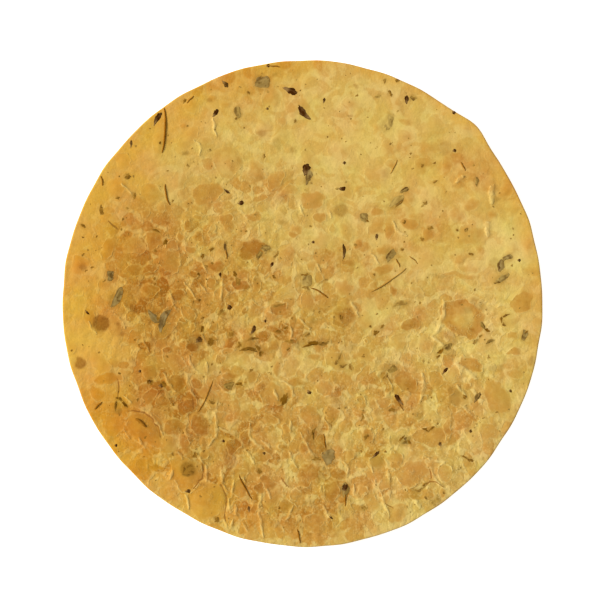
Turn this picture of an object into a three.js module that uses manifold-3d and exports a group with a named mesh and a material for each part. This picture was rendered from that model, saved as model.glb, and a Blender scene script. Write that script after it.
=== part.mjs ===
// A khakhra: a thin round flatbread, rolled out and roasted on a griddle until it is crisp and blistered,
// with flakes of dried leaf, dark seed hulls and hair-thin stalks baked into its top.
// Millimetres, +Z up. The origin is under the middle of the round, on the surface that it lies on.
import * as THREE from 'three';
import { mergeVertices } from 'three/addons/utils/BufferGeometryUtils.js';
import Module from 'manifold-3d';

const TURN = 2 * Math.PI;
const { degToRad, lerp, smoothstep } = THREE.MathUtils;

// Driving dimensions of the round: its outline seen from above
const MEAN_RADIUS = 90;
const LOBE = { height: 1.9, angle: degToRad(46), spread: degToRad(5.6) }; // the rim's one bulge
// What else keeps the rim from a true circle: waves, broad ones then ragged ones, by depth, count and phase
const RIM_WAVES = [
  [0.5, 1, 0], [-0.66, 2, 0], [-0.3, 3, 0],
  [0.1, 17, 0.4], [0.08, 29, 2.1], [0.06, 43, 4],
];

// Driving dimensions of the sheet, seen from the side
const SHEET = 1.15; // rolled thickness
const RIM_LIFT = 2.2; // the most that the rim rises off the table
const MEAN_LIFT = 0.6; // the share of that rise which the rim has on average
const LIFT_WAVES = [[0.2, 2, degToRad(-35)], [-0.2, 3, 0]]; // what comes and goes of it, as above
const LOW_SPOTS = 3; // the warped sheet rests on these, evenly round it, and is flat between them
const LOW_SPOT_SHARE = 0.62; // how far out they are, as a share of the radius
const NOSE_SHARE = 0.994; // the rounded rim begins here

// Roasted blisters: flat-topped swellings of the top skin
const BLISTER_RISE = 0.45;
const BLISTER_SHOULDER = 0.5; // share of a blister's depth, from its edge inwards, that is slope
// The large ones, each with its place, length, breadth and turn of the length from +X in degrees
const LARGE_BLISTERS = [
  [-62, 12.5, 8.2, 5.2, 20], [-46.2, 3.2, 6, 5.2, 0], [-18.3, 20.7, 9.7, 7.5, 15],
  [-31.7, 13.6, 9, 4.4, -10], [-28.7, 30.4, 7, 4.8, 80], [-17.5, 32.2, 6.5, 4.4, 0],
  [-33.2, 39.7, 11.5, 9, 20], [-26.8, 49.8, 9.3, 8.2, 30], [-36, 60.5, 6, 5.2, 0],
  [3.7, 38.6, 11.2, 6.7, 10], [32.8, 27.4, 10.4, 4.8, 85], [30.2, 12.5, 7.5, 4.8, 20],
  [14.9, -5.4, 9.7, 9.7, 0], [60.8, -6.5, 17, 15.6, 0], [82, -0.4, 9.5, 6, 10],
  [40.6, -7.6, 7, 5, 20], [54.2, -21.4, 6, 5, 80], [49.6, -28.5, 8.2, 6.7, 100],
  [38.4, -29.6, 9.5, 9, 0], [72.3, -35.6, 15, 9, 105], [65.6, -23.7, 8.2, 5.2, -25],
  [40.6, -62.4, 13.4, 11.2, 30], [48.5, -52, 8.2, 6.7, 0], [35.4, -77.7, 9, 6, 15],
  [53.3, -63.5, 6.7, 6.7, 0], [3, -41.6, 9, 8.2, 90], [3, -63.5, 10.4, 9, 80],
  [10.4, -71.7, 9.7, 6, 100], [5.2, -82.5, 9, 8, 0], [-57, -24.8, 5.4, 5, 0],
  [-58.5, -46.4, 14.5, 12.5, -50], [-42.5, -62, 15, 15, 0], [-35, -72.5, 16, 15.5, 0],
  [-26.1, -53.9, 8.2, 8, 0], [-38, -45.7, 9, 7.5, 10], [-15.7, -56.5, 6.7, 6.2, 0],
  [60.7, 64.5, 8, 5.5, -40], [62.6, 25.5, 13, 10, 20], [-46, -30, 9, 7.5, 40],
  [-48, -46, 8.5, 7, 0],
].map(([x, y, length, breadth, turn]) => ({ x, y, length, breadth, turn: degToRad(turn) }));
// The smaller ones, spread over the round by a sunflower spiral with a seeded stagger
const SMALL_BLISTERS = {
  count: 150, reach: 86, stagger: 3.5, length: [6, 10.5], breadth: [5, 8.5], seed: 7193,
};

// Flakes that stand proud of the skin, each with its place, length, breadth and turn in degrees
const FLAKE_PROUD = 0.3;
const FLAKE_SUNK = 0.45;
const FLAKE_BELLY = 0.1; // a flake is broadest this share of its length short of its middle
const HULLS = [
  [-53.5, 68.8, 4.5, 1.4, 52], [-4.5, 79.2, 4.8, 2, -25], [1.1, 71, 6.3, 2, -50],
  [1.9, 48.6, 6.7, 2.8, 85], [-32.4, 71, 3.7, 1.6, 55], [-28.5, 20.7, 5.2, 1.4, 95],
  [15.3, 19.2, 6, 1.3, 90], [38.9, 75.8, 3.4, 1.6, 90], [-18.3, -9.9, 4, 1.5, 65],
  [36.2, -35.6, 5, 1.7, -50], [27.5, -56.4, 3.4, 1.4, 42], [53.3, -25.2, 3.2, 1.3, 50],
  [-28.7, 81.8, 3.4, 1.6, -45],
];
const LEAVES = [
  [-14.9, 82.6, 5.2, 4.5, 20], [-69, 2, 7.5, 2.6, 63], [-55.5, -4.8, 5.5, 2.2, -48],
  [-51, -6.3, 9.6, 2.6, 72], [-71.6, 10.6, 4.1, 3, 90], [-14.2, 19.9, 4.5, 3.4, 20],
  [1.5, 8.4, 5.2, 4.4, 90], [23.5, 31.5, 4.1, 3, 0], [33.2, 18.1, 4.5, 2.4, 60],
  [35, 37.8, 6.7, 3, 30], [32, 67.3, 6.7, 3, 70], [74.5, 15.5, 5, 2.2, 40],
  [73.8, 9.1, 6, 3.7, 60], [64.8, 45.3, 4.1, 1.7, 90], [-19.4, -15.8, 8.2, 4.5, 5],
  [10, -56.5, 6.3, 5.2, 80], [15.9, -69.5, 5.2, 3, 90], [65.2, -35.2, 4.8, 2, 60],
  [38, -50.9, 4.6, 3, 20], [52.9, -17, 5.5, 2.2, 32], [67.8, -8.8, 4.4, 1.7, -50],
  [74.7, -6.1, 4.6, 2, -70], [82.7, -12.1, 4, 2, 80], [33.7, -24.3, 3.2, 2.6, 45],
  [46.8, -46.8, 4.2, 1.8, 10], [61.3, -57.8, 4.8, 1.8, -25], [-67, -36.5, 5, 1.7, -28],
  [-6.9, -35.8, 5, 3, 62], [-27.4, -30.4, 3.8, 2.4, 5],
];

// Stalks that lie on the skin: their two ends and the sideways bow of their middle
const STALK_RADIUS = 0.38;
const STALKS = [
  { from: [-51.4, 72.9], to: [-52.2, 56.1], bow: 0.9 },
  { from: [38.8, 13.2], to: [25.7, 4.3], bow: 0.5 },
  { from: [-33.3, -28.7], to: [-38.9, -40.8], bow: 0.4 },
  { from: [-23.5, -63.9], to: [-18.6, -72.9], bow: -0.3 },
  { from: [0.4, -16.2], to: [8.6, -14], bow: 0.3 },
  { from: [-50.9, 44.5], to: [-49.2, 36.7], bow: -0.6 },
];

// How finely the solid is faceted
const TOP_RINGS = 34; // each has six points more than the one inside it
const UNDERSIDE_RINGS = 6;
const UNDERSIDE_POINTS = 48; // on the underside's inner rings, rising to half of the rim's
const FLAKE_CURVE_STEPS = 4;
const STALK_SIDES = 5;
const STALK_STEPS = 4;

// A repeatable stream of numbers between two limits
function makeDraw(seed) {
  const multiplier = 48271;
  const modulus = 2147483647;
  let state = seed;
  return (low, high) => {
    state = (state * multiplier) % modulus;
    return low + ((high - low) * state) / modulus;
  };
}

// The outline: how far the rim is from the middle in one direction
function rimRadius(angle) {
  const offLobe = (angle - LOBE.angle) / LOBE.spread;
  const lobe = LOBE.height * Math.exp(-offLobe * offLobe);
  const addWave = (sum, [depth, count, phase]) => sum + depth * Math.cos(count * angle + phase);
  return RIM_WAVES.reduce(addWave, MEAN_RADIUS + lobe);
}

// The edge of the flat between the low spots, as a share of the radius in one direction
function flatShare(angle) {
  const sector = TURN / LOW_SPOTS;
  const offEdge = (angle % sector) - sector / 2;
  return (LOW_SPOT_SHARE * Math.cos(sector / 2)) / Math.cos(offEdge);
}

// The warp: how far the sheet has curled up off the table at a share of the rim's radius
function sheetLift(share, angle) {
  const addWave = (sum, [part, count, phase]) => sum + part * Math.cos(count * angle + phase);
  return RIM_LIFT * LIFT_WAVES.reduce(addWave, MEAN_LIFT) * smoothstep(share, flatShare(angle), 1);
}

// How deep inside a blister's oval a point lies: 1 in its middle, 0 on its edge, less outside
function depthInside(blister, x, y) {
  const dx = x - blister.x;
  const dy = y - blister.y;
  const along = dx * Math.cos(blister.turn) + dy * Math.sin(blister.turn);
  const across = dy * Math.cos(blister.turn) - dx * Math.sin(blister.turn);
  return 1 - (2 * along / blister.length) ** 2 - (2 * across / blister.breadth) ** 2;
}

// The smaller blisters, left out where a large one already is
function spreadSmallBlisters({ count, reach, stagger, length, breadth, seed }) {
  const goldenAngle = Math.PI * (3 - Math.sqrt(5));
  const draw = makeDraw(seed);
  const spread = [];
  for (let k = 0; k < count; k += 1) {
    const radius = reach * Math.sqrt((k + 0.5) / count);
    const blister = {
      x: radius * Math.cos(k * goldenAngle) + draw(-stagger, stagger),
      y: radius * Math.sin(k * goldenAngle) + draw(-stagger, stagger),
      length: draw(...length),
      breadth: draw(...breadth),
      turn: draw(0, Math.PI),
    };
    if (LARGE_BLISTERS.every((large) => depthInside(large, blister.x, blister.y) < 0)) {
      spread.push(blister);
    }
  }
  return spread;
}

const blisters = [...LARGE_BLISTERS, ...spreadSmallBlisters(SMALL_BLISTERS)];

// The top skin's height above the table
function topHeight(x, y) {
  const angle = (Math.atan2(y, x) + TURN) % TURN;
  const share = Math.hypot(x, y) / rimRadius(angle);
  const deepest = Math.max(...blisters.map((blister) => depthInside(blister, x, y)));
  return SHEET + sheetLift(share, angle) + BLISTER_RISE * smoothstep(deepest, 0, BLISTER_SHOULDER);
}

// One ring of points round the middle, each at its share of the rim's radius in its direction
function makeRing(count, shareAt, heightAt) {
  return Array.from({ length: count }, (_, i) => {
    const angle = (TURN * i) / count;
    const share = shareAt(angle);
    const radius = share * rimRadius(angle);
    const x = radius * Math.cos(angle);
    const y = radius * Math.sin(angle);
    return [x, y, heightAt(x, y, share, angle)];
  });
}

// The rings in a turned profile's order: out along the underside, round the rim and back over the top
function makeRings() {
  const underside = (x, y, share, angle) => sheetLift(share, angle);
  const nose = (x, y, share, angle) => sheetLift(share, angle) + SHEET / 2;
  const middle = () => 0;
  const rimPoints = 6 * TOP_RINGS;
  const rings = [makeRing(1, middle, underside), makeRing(LOW_SPOTS, flatShare, underside)];
  for (let k = 1; k <= UNDERSIDE_RINGS; k += 1) {
    const along = k / UNDERSIDE_RINGS;
    const count = Math.round(lerp(UNDERSIDE_POINTS, rimPoints / 2, along));
    rings.push(makeRing(count, (angle) => lerp(flatShare(angle), NOSE_SHARE, along), underside));
  }
  rings.push(makeRing(rimPoints, () => 1, nose));
  for (let k = TOP_RINGS; k > 0; k -= 1) {
    rings.push(makeRing(6 * k, () => (NOSE_SHARE * k) / TOP_RINGS, topHeight));
  }
  rings.push(makeRing(1, middle, topHeight));
  return rings;
}

// One band of triangles between two neighbouring rings, stepping along whichever ring is behind
function zipRings(first, firstStart, second, secondStart, triangles) {
  const firstSteps = first.length > 1 ? first.length : 0;
  const secondSteps = second.length > 1 ? second.length : 0;
  let i = 0;
  let j = 0;
  while (i < firstSteps || j < secondSteps) {
    const a = firstStart + (i % first.length);
    const b = secondStart + (j % second.length);
    const firstIsBehind = (i + 1) * secondSteps <= (j + 1) * firstSteps;
    if (i < firstSteps && (firstIsBehind || j === secondSteps)) {
      i += 1;
      triangles.push(a, firstStart + (i % first.length), b);
    } else {
      j += 1;
      triangles.push(a, secondStart + (j % second.length), b);
    }
  }
}

// The whole sheet of baked dough as one closed skin
function makeSheet() {
  const rings = makeRings();
  const triangles = [];
  let start = 0;
  for (let k = 0; k + 1 < rings.length; k += 1) {
    const nextStart = start + rings[k].length;
    zipRings(rings[k], start, rings[k + 1], nextStart, triangles);
    start = nextStart;
  }
  const geometry = new THREE.BufferGeometry();
  geometry.setAttribute('position', new THREE.Float32BufferAttribute(rings.flat(2), 3));
  geometry.setIndex(triangles);
  return geometry;
}

// A pointed sliver lying on the top skin, following its rise and fall
function makeFlake([x, y, length, breadth, turn]) {
  const outline = new THREE.Shape();
  const tip = length / 2;
  const belly = -FLAKE_BELLY * length;
  outline.moveTo(-tip, 0);
  outline.quadraticCurveTo(belly, -breadth, tip, 0);
  outline.quadraticCurveTo(belly, breadth, -tip, 0);
  const flake = new THREE.ExtrudeGeometry(outline, {
    depth: FLAKE_SUNK + FLAKE_PROUD,
    bevelEnabled: false,
    curveSegments: FLAKE_CURVE_STEPS,
  });
  flake.rotateZ(degToRad(turn));
  flake.translate(x, y, 0);
  const corners = flake.getAttribute('position');
  for (let i = 0; i < corners.count; i += 1) {
    const skin = topHeight(corners.getX(i), corners.getY(i));
    corners.setZ(i, corners.getZ(i) + skin - FLAKE_SUNK);
  }
  return flake;
}

// A thin round stalk, half sunk in the top skin
function makeStalk({ from, to, bow }) {
  const ends = [new THREE.Vector2(...from), new THREE.Vector2(...to)];
  const run = ends[1].clone().sub(ends[0]);
  const sideways = new THREE.Vector2(-run.y, run.x).setLength(bow);
  const middle = ends[0].clone().lerp(ends[1], 0.5).add(sideways);
  const points = [ends[0], middle, ends[1]].map(({ x, y }) => new THREE.Vector3(x, y, topHeight(x, y)));
  const section = new THREE.Shape();
  for (let i = 0; i < STALK_SIDES; i += 1) {
    const angle = (TURN * i) / STALK_SIDES;
    const corner = [STALK_RADIUS * Math.cos(angle), STALK_RADIUS * Math.sin(angle)];
    if (i === 0) section.moveTo(...corner);
    else section.lineTo(...corner);
  }
  const path = new THREE.CatmullRomCurve3(points);
  return new THREE.ExtrudeGeometry(section, { extrudePath: path, steps: STALK_STEPS });
}

const wasm = await Module();
wasm.setup();

// A closed geometry as a solid that can be joined to others
function toSolid(geometry) {
  geometry.deleteAttribute('normal');
  geometry.deleteAttribute('uv');
  const merged = mergeVertices(geometry);
  return new wasm.Manifold(new wasm.Mesh({
    numProp: 3,
    vertProperties: merged.getAttribute('position').array,
    triVerts: Uint32Array.from(merged.getIndex().array),
  }));
}

// The sheet with every flake and stalk joined to it
function bakeTogether() {
  const toppings = [...HULLS.map(makeFlake), ...LEAVES.map(makeFlake), ...STALKS.map(makeStalk)];
  const whole = toppings.reduce((solid, topping) => solid.add(toSolid(topping)), toSolid(makeSheet()));
  const { vertProperties, triVerts } = whole.getMesh();
  const geometry = new THREE.BufferGeometry();
  geometry.setAttribute('position', new THREE.Float32BufferAttribute(vertProperties, 3));
  geometry.setIndex(Array.from(triVerts));
  geometry.computeVertexNormals();
  return geometry;
}

const crust = new THREE.MeshStandardMaterial({ color: 0xcca04f, roughness: 0.75, metalness: 0 });
const bread = new THREE.Mesh(bakeTogether(), crust);
bread.name = 'khakhra';

const khakhra = new THREE.Group();
khakhra.add(bread);

export default khakhra;
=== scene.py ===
# %% [markdown]
# # A khakhra
# A khakhra is a thin round flatbread that is rolled out and roasted on a griddle under a press until it
# is crisp. The press browns every blister that touches it, so the top is a patchwork of toasted plates
# with pale creases between them, and flakes of dried leaf, dark seed hulls and stalks are baked into it.
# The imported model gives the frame: its outline, its thickness and its curl are repeated here, in
# millimetres, so that the dressed part lies exactly where the solid does. The large blisters are the
# solid's too, some of them set a little closer to the real ones.

# %% Load the frame
import math

import bpy
import numpy as np
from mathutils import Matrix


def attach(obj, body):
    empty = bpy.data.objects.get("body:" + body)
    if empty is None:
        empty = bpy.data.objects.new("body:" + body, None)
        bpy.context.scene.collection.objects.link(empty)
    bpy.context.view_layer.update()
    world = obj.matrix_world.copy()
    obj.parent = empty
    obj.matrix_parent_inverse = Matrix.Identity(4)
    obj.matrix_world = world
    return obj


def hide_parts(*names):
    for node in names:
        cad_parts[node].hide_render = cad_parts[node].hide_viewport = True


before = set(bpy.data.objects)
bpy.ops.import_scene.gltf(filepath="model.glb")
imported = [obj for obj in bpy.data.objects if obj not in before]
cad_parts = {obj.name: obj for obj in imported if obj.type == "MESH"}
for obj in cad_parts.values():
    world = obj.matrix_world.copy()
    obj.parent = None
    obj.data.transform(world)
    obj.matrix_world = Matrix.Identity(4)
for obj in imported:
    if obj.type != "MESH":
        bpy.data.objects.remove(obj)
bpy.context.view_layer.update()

MM = 0.001
TURN = 2 * math.pi

# %% [markdown]
# ## Camera, light and floor
# The picture looks straight down, so the camera hangs above the round with its top towards +Y. A long
# lens keeps the outline free of perspective. One soft key light from the left grazes the blisters, and a
# white surround fills the shade, as in a light tent. The floor is white and lit a little past white.

# %% Camera
VIEW_WIDTH = 223.6
VIEW_MIDDLE = (-0.75, 1.3)
SKIN_LEVEL = 1.5
LENS = 100
SENSOR = 36

camera_data = bpy.data.cameras.new("camera")
camera_data.lens = LENS
camera_data.sensor_width = SENSOR
camera = bpy.data.objects.new("camera", camera_data)
bpy.context.collection.objects.link(camera)
camera_height = VIEW_WIDTH * LENS / SENSOR + SKIN_LEVEL
camera.location = (VIEW_MIDDLE[0] * MM, VIEW_MIDDLE[1] * MM, camera_height * MM)
bpy.context.scene.camera = camera
bpy.context.scene.view_settings.view_transform = "Standard"
print("camera hangs", round(camera_height), "mm up")

# %% Light and floor
KEY_SHARE = 0.6  # of the light on the round; the surround gives the rest
LIGHT_LEVEL = 1.25  # what a pure white sheet would show, where 1 is white
KEY_AZIMUTH = math.radians(168)
KEY_ELEVATION = math.radians(27)
KEY_SOFTNESS = math.radians(20)
FLOOR_COLOUR = (0.8, 0.8, 0.8, 1)
FLOOR_GLOW = 0.7  # the floor is a light table: its own light washes out most of the shadow
FLOOR_SIZE = 6
FLOOR_ROUGHNESS = 0.9
WHITE = (1, 1, 1, 1)

key_data = bpy.data.lights.new("key", "SUN")
key_data.energy = math.pi * KEY_SHARE * LIGHT_LEVEL / math.sin(KEY_ELEVATION)
key_data.angle = KEY_SOFTNESS
key = bpy.data.objects.new("key", key_data)
key.rotation_euler = (0, math.pi / 2 - KEY_ELEVATION, KEY_AZIMUTH)
bpy.context.collection.objects.link(key)

surround = bpy.data.worlds.new("surround")
surround.use_nodes = True
surround_sockets = surround.node_tree.nodes["Background"].inputs
surround_sockets["Color"].default_value = WHITE
surround_sockets["Strength"].default_value = (1 - KEY_SHARE) * LIGHT_LEVEL
bpy.context.scene.world = surround

bpy.ops.mesh.primitive_plane_add(size=FLOOR_SIZE)
floor = bpy.context.object
floor.name = "floor"
floor_paint = bpy.data.materials.new("floor_paint")
floor_paint.use_nodes = True
floor_sockets = floor_paint.node_tree.nodes["Principled BSDF"].inputs
floor_sockets["Base Color"].default_value = FLOOR_COLOUR
floor_sockets["Roughness"].default_value = FLOOR_ROUGHNESS
floor_sockets["Specular IOR Level"].default_value = 0
floor_sockets["Emission Color"].default_value = WHITE
floor_sockets["Emission Strength"].default_value = FLOOR_GLOW
floor.data.materials.append(floor_paint)
print("key light", round(key_data.energy, 2), "and a white surround")

# %% [markdown]
# ## The outline and the warp
# The rim is a circle with one bulge and a few shallow waves, and the sheet has curled up a little
# outside the three low spots that it rests on. These are the solid's own formulas, written for arrays.

# %% Outline
MEAN_RADIUS = 90
LOBE_HEIGHT = 1.9
LOBE_ANGLE = math.radians(46)
LOBE_SPREAD = math.radians(5.6)
# Depth, how many go round, and phase
RIM_WAVES = [
    (0.5, 1, 0), (-0.66, 2, 0), (-0.3, 3, 0),
    (0.1, 17, 0.4), (0.08, 29, 2.1), (0.06, 43, 4),
]


def rim_radius(angle):
    """How far the rim is from the middle in each direction."""
    radius = MEAN_RADIUS + LOBE_HEIGHT * np.exp(-((angle - LOBE_ANGLE) / LOBE_SPREAD) ** 2)
    for depth, count, phase in RIM_WAVES:
        radius = radius + depth * np.cos(count * angle + phase)
    return radius


def smooth(value, low, high):
    """0 below low, 1 above high, and an S-shaped rise between."""
    share = np.clip((value - low) / (high - low), 0, 1)
    return share * share * (3 - 2 * share)


RIM_SAMPLES = 720
rim_angle = np.linspace(0, TURN, RIM_SAMPLES)
rim_reach = rim_radius(rim_angle)
print("rim from", rim_reach.min().round(1), "to", rim_reach.max().round(1), "mm out")

# %% Warp
SHEET = 1.15
RIM_LIFT = 2.2
MEAN_LIFT = 0.6
LIFT_WAVES = [(0.2, 2, math.radians(-35)), (-0.2, 3, 0)]  # share, how many go round, and phase
LOW_SPOTS = 3
LOW_SPOT_SHARE = 0.62  # of the way to the rim


def polar(x, y):
    """The direction of each point, and its distance from the middle as a share of the rim's."""
    angle = np.arctan2(y, x) % TURN
    return angle, np.hypot(x, y) / rim_radius(angle)


def sheet_lift(x, y):
    """How far the sheet has curled up off the table at each point."""
    angle, share = polar(x, y)
    sector = TURN / LOW_SPOTS
    flat = LOW_SPOT_SHARE * math.cos(sector / 2) / np.cos(angle % sector - sector / 2)
    lift = MEAN_LIFT
    for part, count, phase in LIFT_WAVES:
        lift = lift + part * np.cos(count * angle + phase)
    return RIM_LIFT * lift * smooth(share, flat, 1)


rim_curl = sheet_lift(rim_reach * np.cos(rim_angle), rim_reach * np.sin(rim_angle))
print("rim curls up by", rim_curl.min().round(2), "to", rim_curl.max().round(2), "mm")

# %% [markdown]
# ## A soft random field
# Dough is uneven in a soft way: nothing in it is straight, and no two spots are alike. A noise node could
# bend a material, but not tell the script how high the skin is. So a lattice of random numbers with
# smooth steps between them gives a repeatable value at any point.

# %% Soft random field
LATTICE = 61
LATTICE_COSINE, LATTICE_SINE = 0.8, 0.6  # the lattice is turned, so that its rows follow no axis


def soft_field(x, y, size, seed):
    """A smooth random value between -1 and 1 that changes over about that many millimetres."""
    table = np.random.default_rng(seed).uniform(-1, 1, (LATTICE, LATTICE))
    turned_x = (LATTICE_COSINE * x - LATTICE_SINE * y) / size
    turned_y = (LATTICE_SINE * x + LATTICE_COSINE * y) / size
    i, j = np.floor(turned_x).astype(int), np.floor(turned_y).astype(int)
    u, v = turned_x - i, turned_y - j
    u, v = u * u * (3 - 2 * u), v * v * (3 - 2 * v)
    left, right = i % LATTICE, (i + 1) % LATTICE
    low, high = j % LATTICE, (j + 1) % LATTICE
    near = (1 - u) * table[left, low] + u * table[right, low]
    far = (1 - u) * table[left, high] + u * table[right, high]
    return (1 - v) * near + v * far


def shift(x, y, reach, size, seed):
    """How far a soft field moves each point along x and along y."""
    return reach * soft_field(x, y, size, seed), reach * soft_field(x, y, size, seed + 1)


print("a field of", LATTICE, "by", LATTICE, "random numbers")

# %% [markdown]
# ## Blisters and toasted plates
# Where the dough swells it meets the hot press, so every blister is a raised plate with a browned top.
# They could be painted by a cell texture, but then they would not be where the real ones are. So each
# large one is a row with its place, length, breadth, turn and toast, and smaller ones are sown between
# them. A point belongs to the plate that it lies deepest in, and where two plates press on each other
# the crease between them comes out straight, as in a real crust.

# %% Large plates
# Place, length, breadth, turn in degrees, and toast from 0 to 1
LARGE_PLATES = [
    (-62, 12.5, 8.2, 5.2, 20, 0.6), (-46.2, 3.2, 6, 5.2, 0, 0.85), (-18.8, 20.4, 11, 8.5, 15, 0.9),
    (-31.7, 13.6, 9, 4.4, -10, 0.85), (-28.7, 30.4, 7, 4.8, 80, 0.65), (-17.5, 32.2, 6.5, 4.4, 0, 0.6),
    (-35, 41, 13, 9.5, 15, 0.5), (-27, 53, 14, 10.5, 100, 0.3), (3.7, 38.6, 11.2, 6.7, 10, 0.5),
    (32.8, 27.4, 10.4, 4.8, 85, 0.5), (30.2, 12.5, 7.5, 4.8, 20, 0.65), (14.9, -5.4, 9.7, 9.7, 0, 0.75),
    (60, -5.8, 19.5, 16.5, 0, 0.75), (82.5, -0.6, 9.5, 7, 0, 0.6), (40.6, -7.6, 9, 5.5, 20, 0.75),
    (54.2, -21.4, 6, 5, 80, 0.6), (49.6, -28.5, 8.2, 6.7, 100, 0.55), (38.4, -29.6, 9.5, 9, 0, 0.65),
    (72.3, -35.6, 15, 9, 105, 0.5), (63.8, -23.2, 11, 5.6, -20, 0.65),
    (40.6, -62.8, 13.4, 11.2, 30, 0.42), (48.5, -50, 14, 9, 0, 0.55), (35.4, -77.7, 9, 6, 15, 0.4),
    (53.3, -63.5, 6.7, 6.7, 0, 0.32), (3, -41.6, 9, 8.2, 90, 0.5), (3, -63.5, 10.4, 9, 80, 0.7),
    (5.2, -82.5, 9, 8, 0, 0.52), (-57, -24.8, 5.4, 5, 0, 0.6), (-58.5, -46.4, 14.5, 12.5, -50, 0.5),
    (-42.5, -62, 15, 15, 0, 0.4), (-35, -72.5, 16, 15.5, 0, 0.3), (-26.1, -53.9, 8.2, 8, 0, 0.95),
    (-38, -45.7, 9, 7.5, 10, 0.7), (-15.7, -56.5, 6.7, 6.2, 0, 0.6), (60.7, 64.5, 8, 5.5, -40, 0.1),
    (62.6, 25.5, 13, 10, 20, 0.35), (-46, -30, 9, 7.5, 40, 0.7), (-48, -46, 8.5, 7, 0, 0.65),
]
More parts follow.
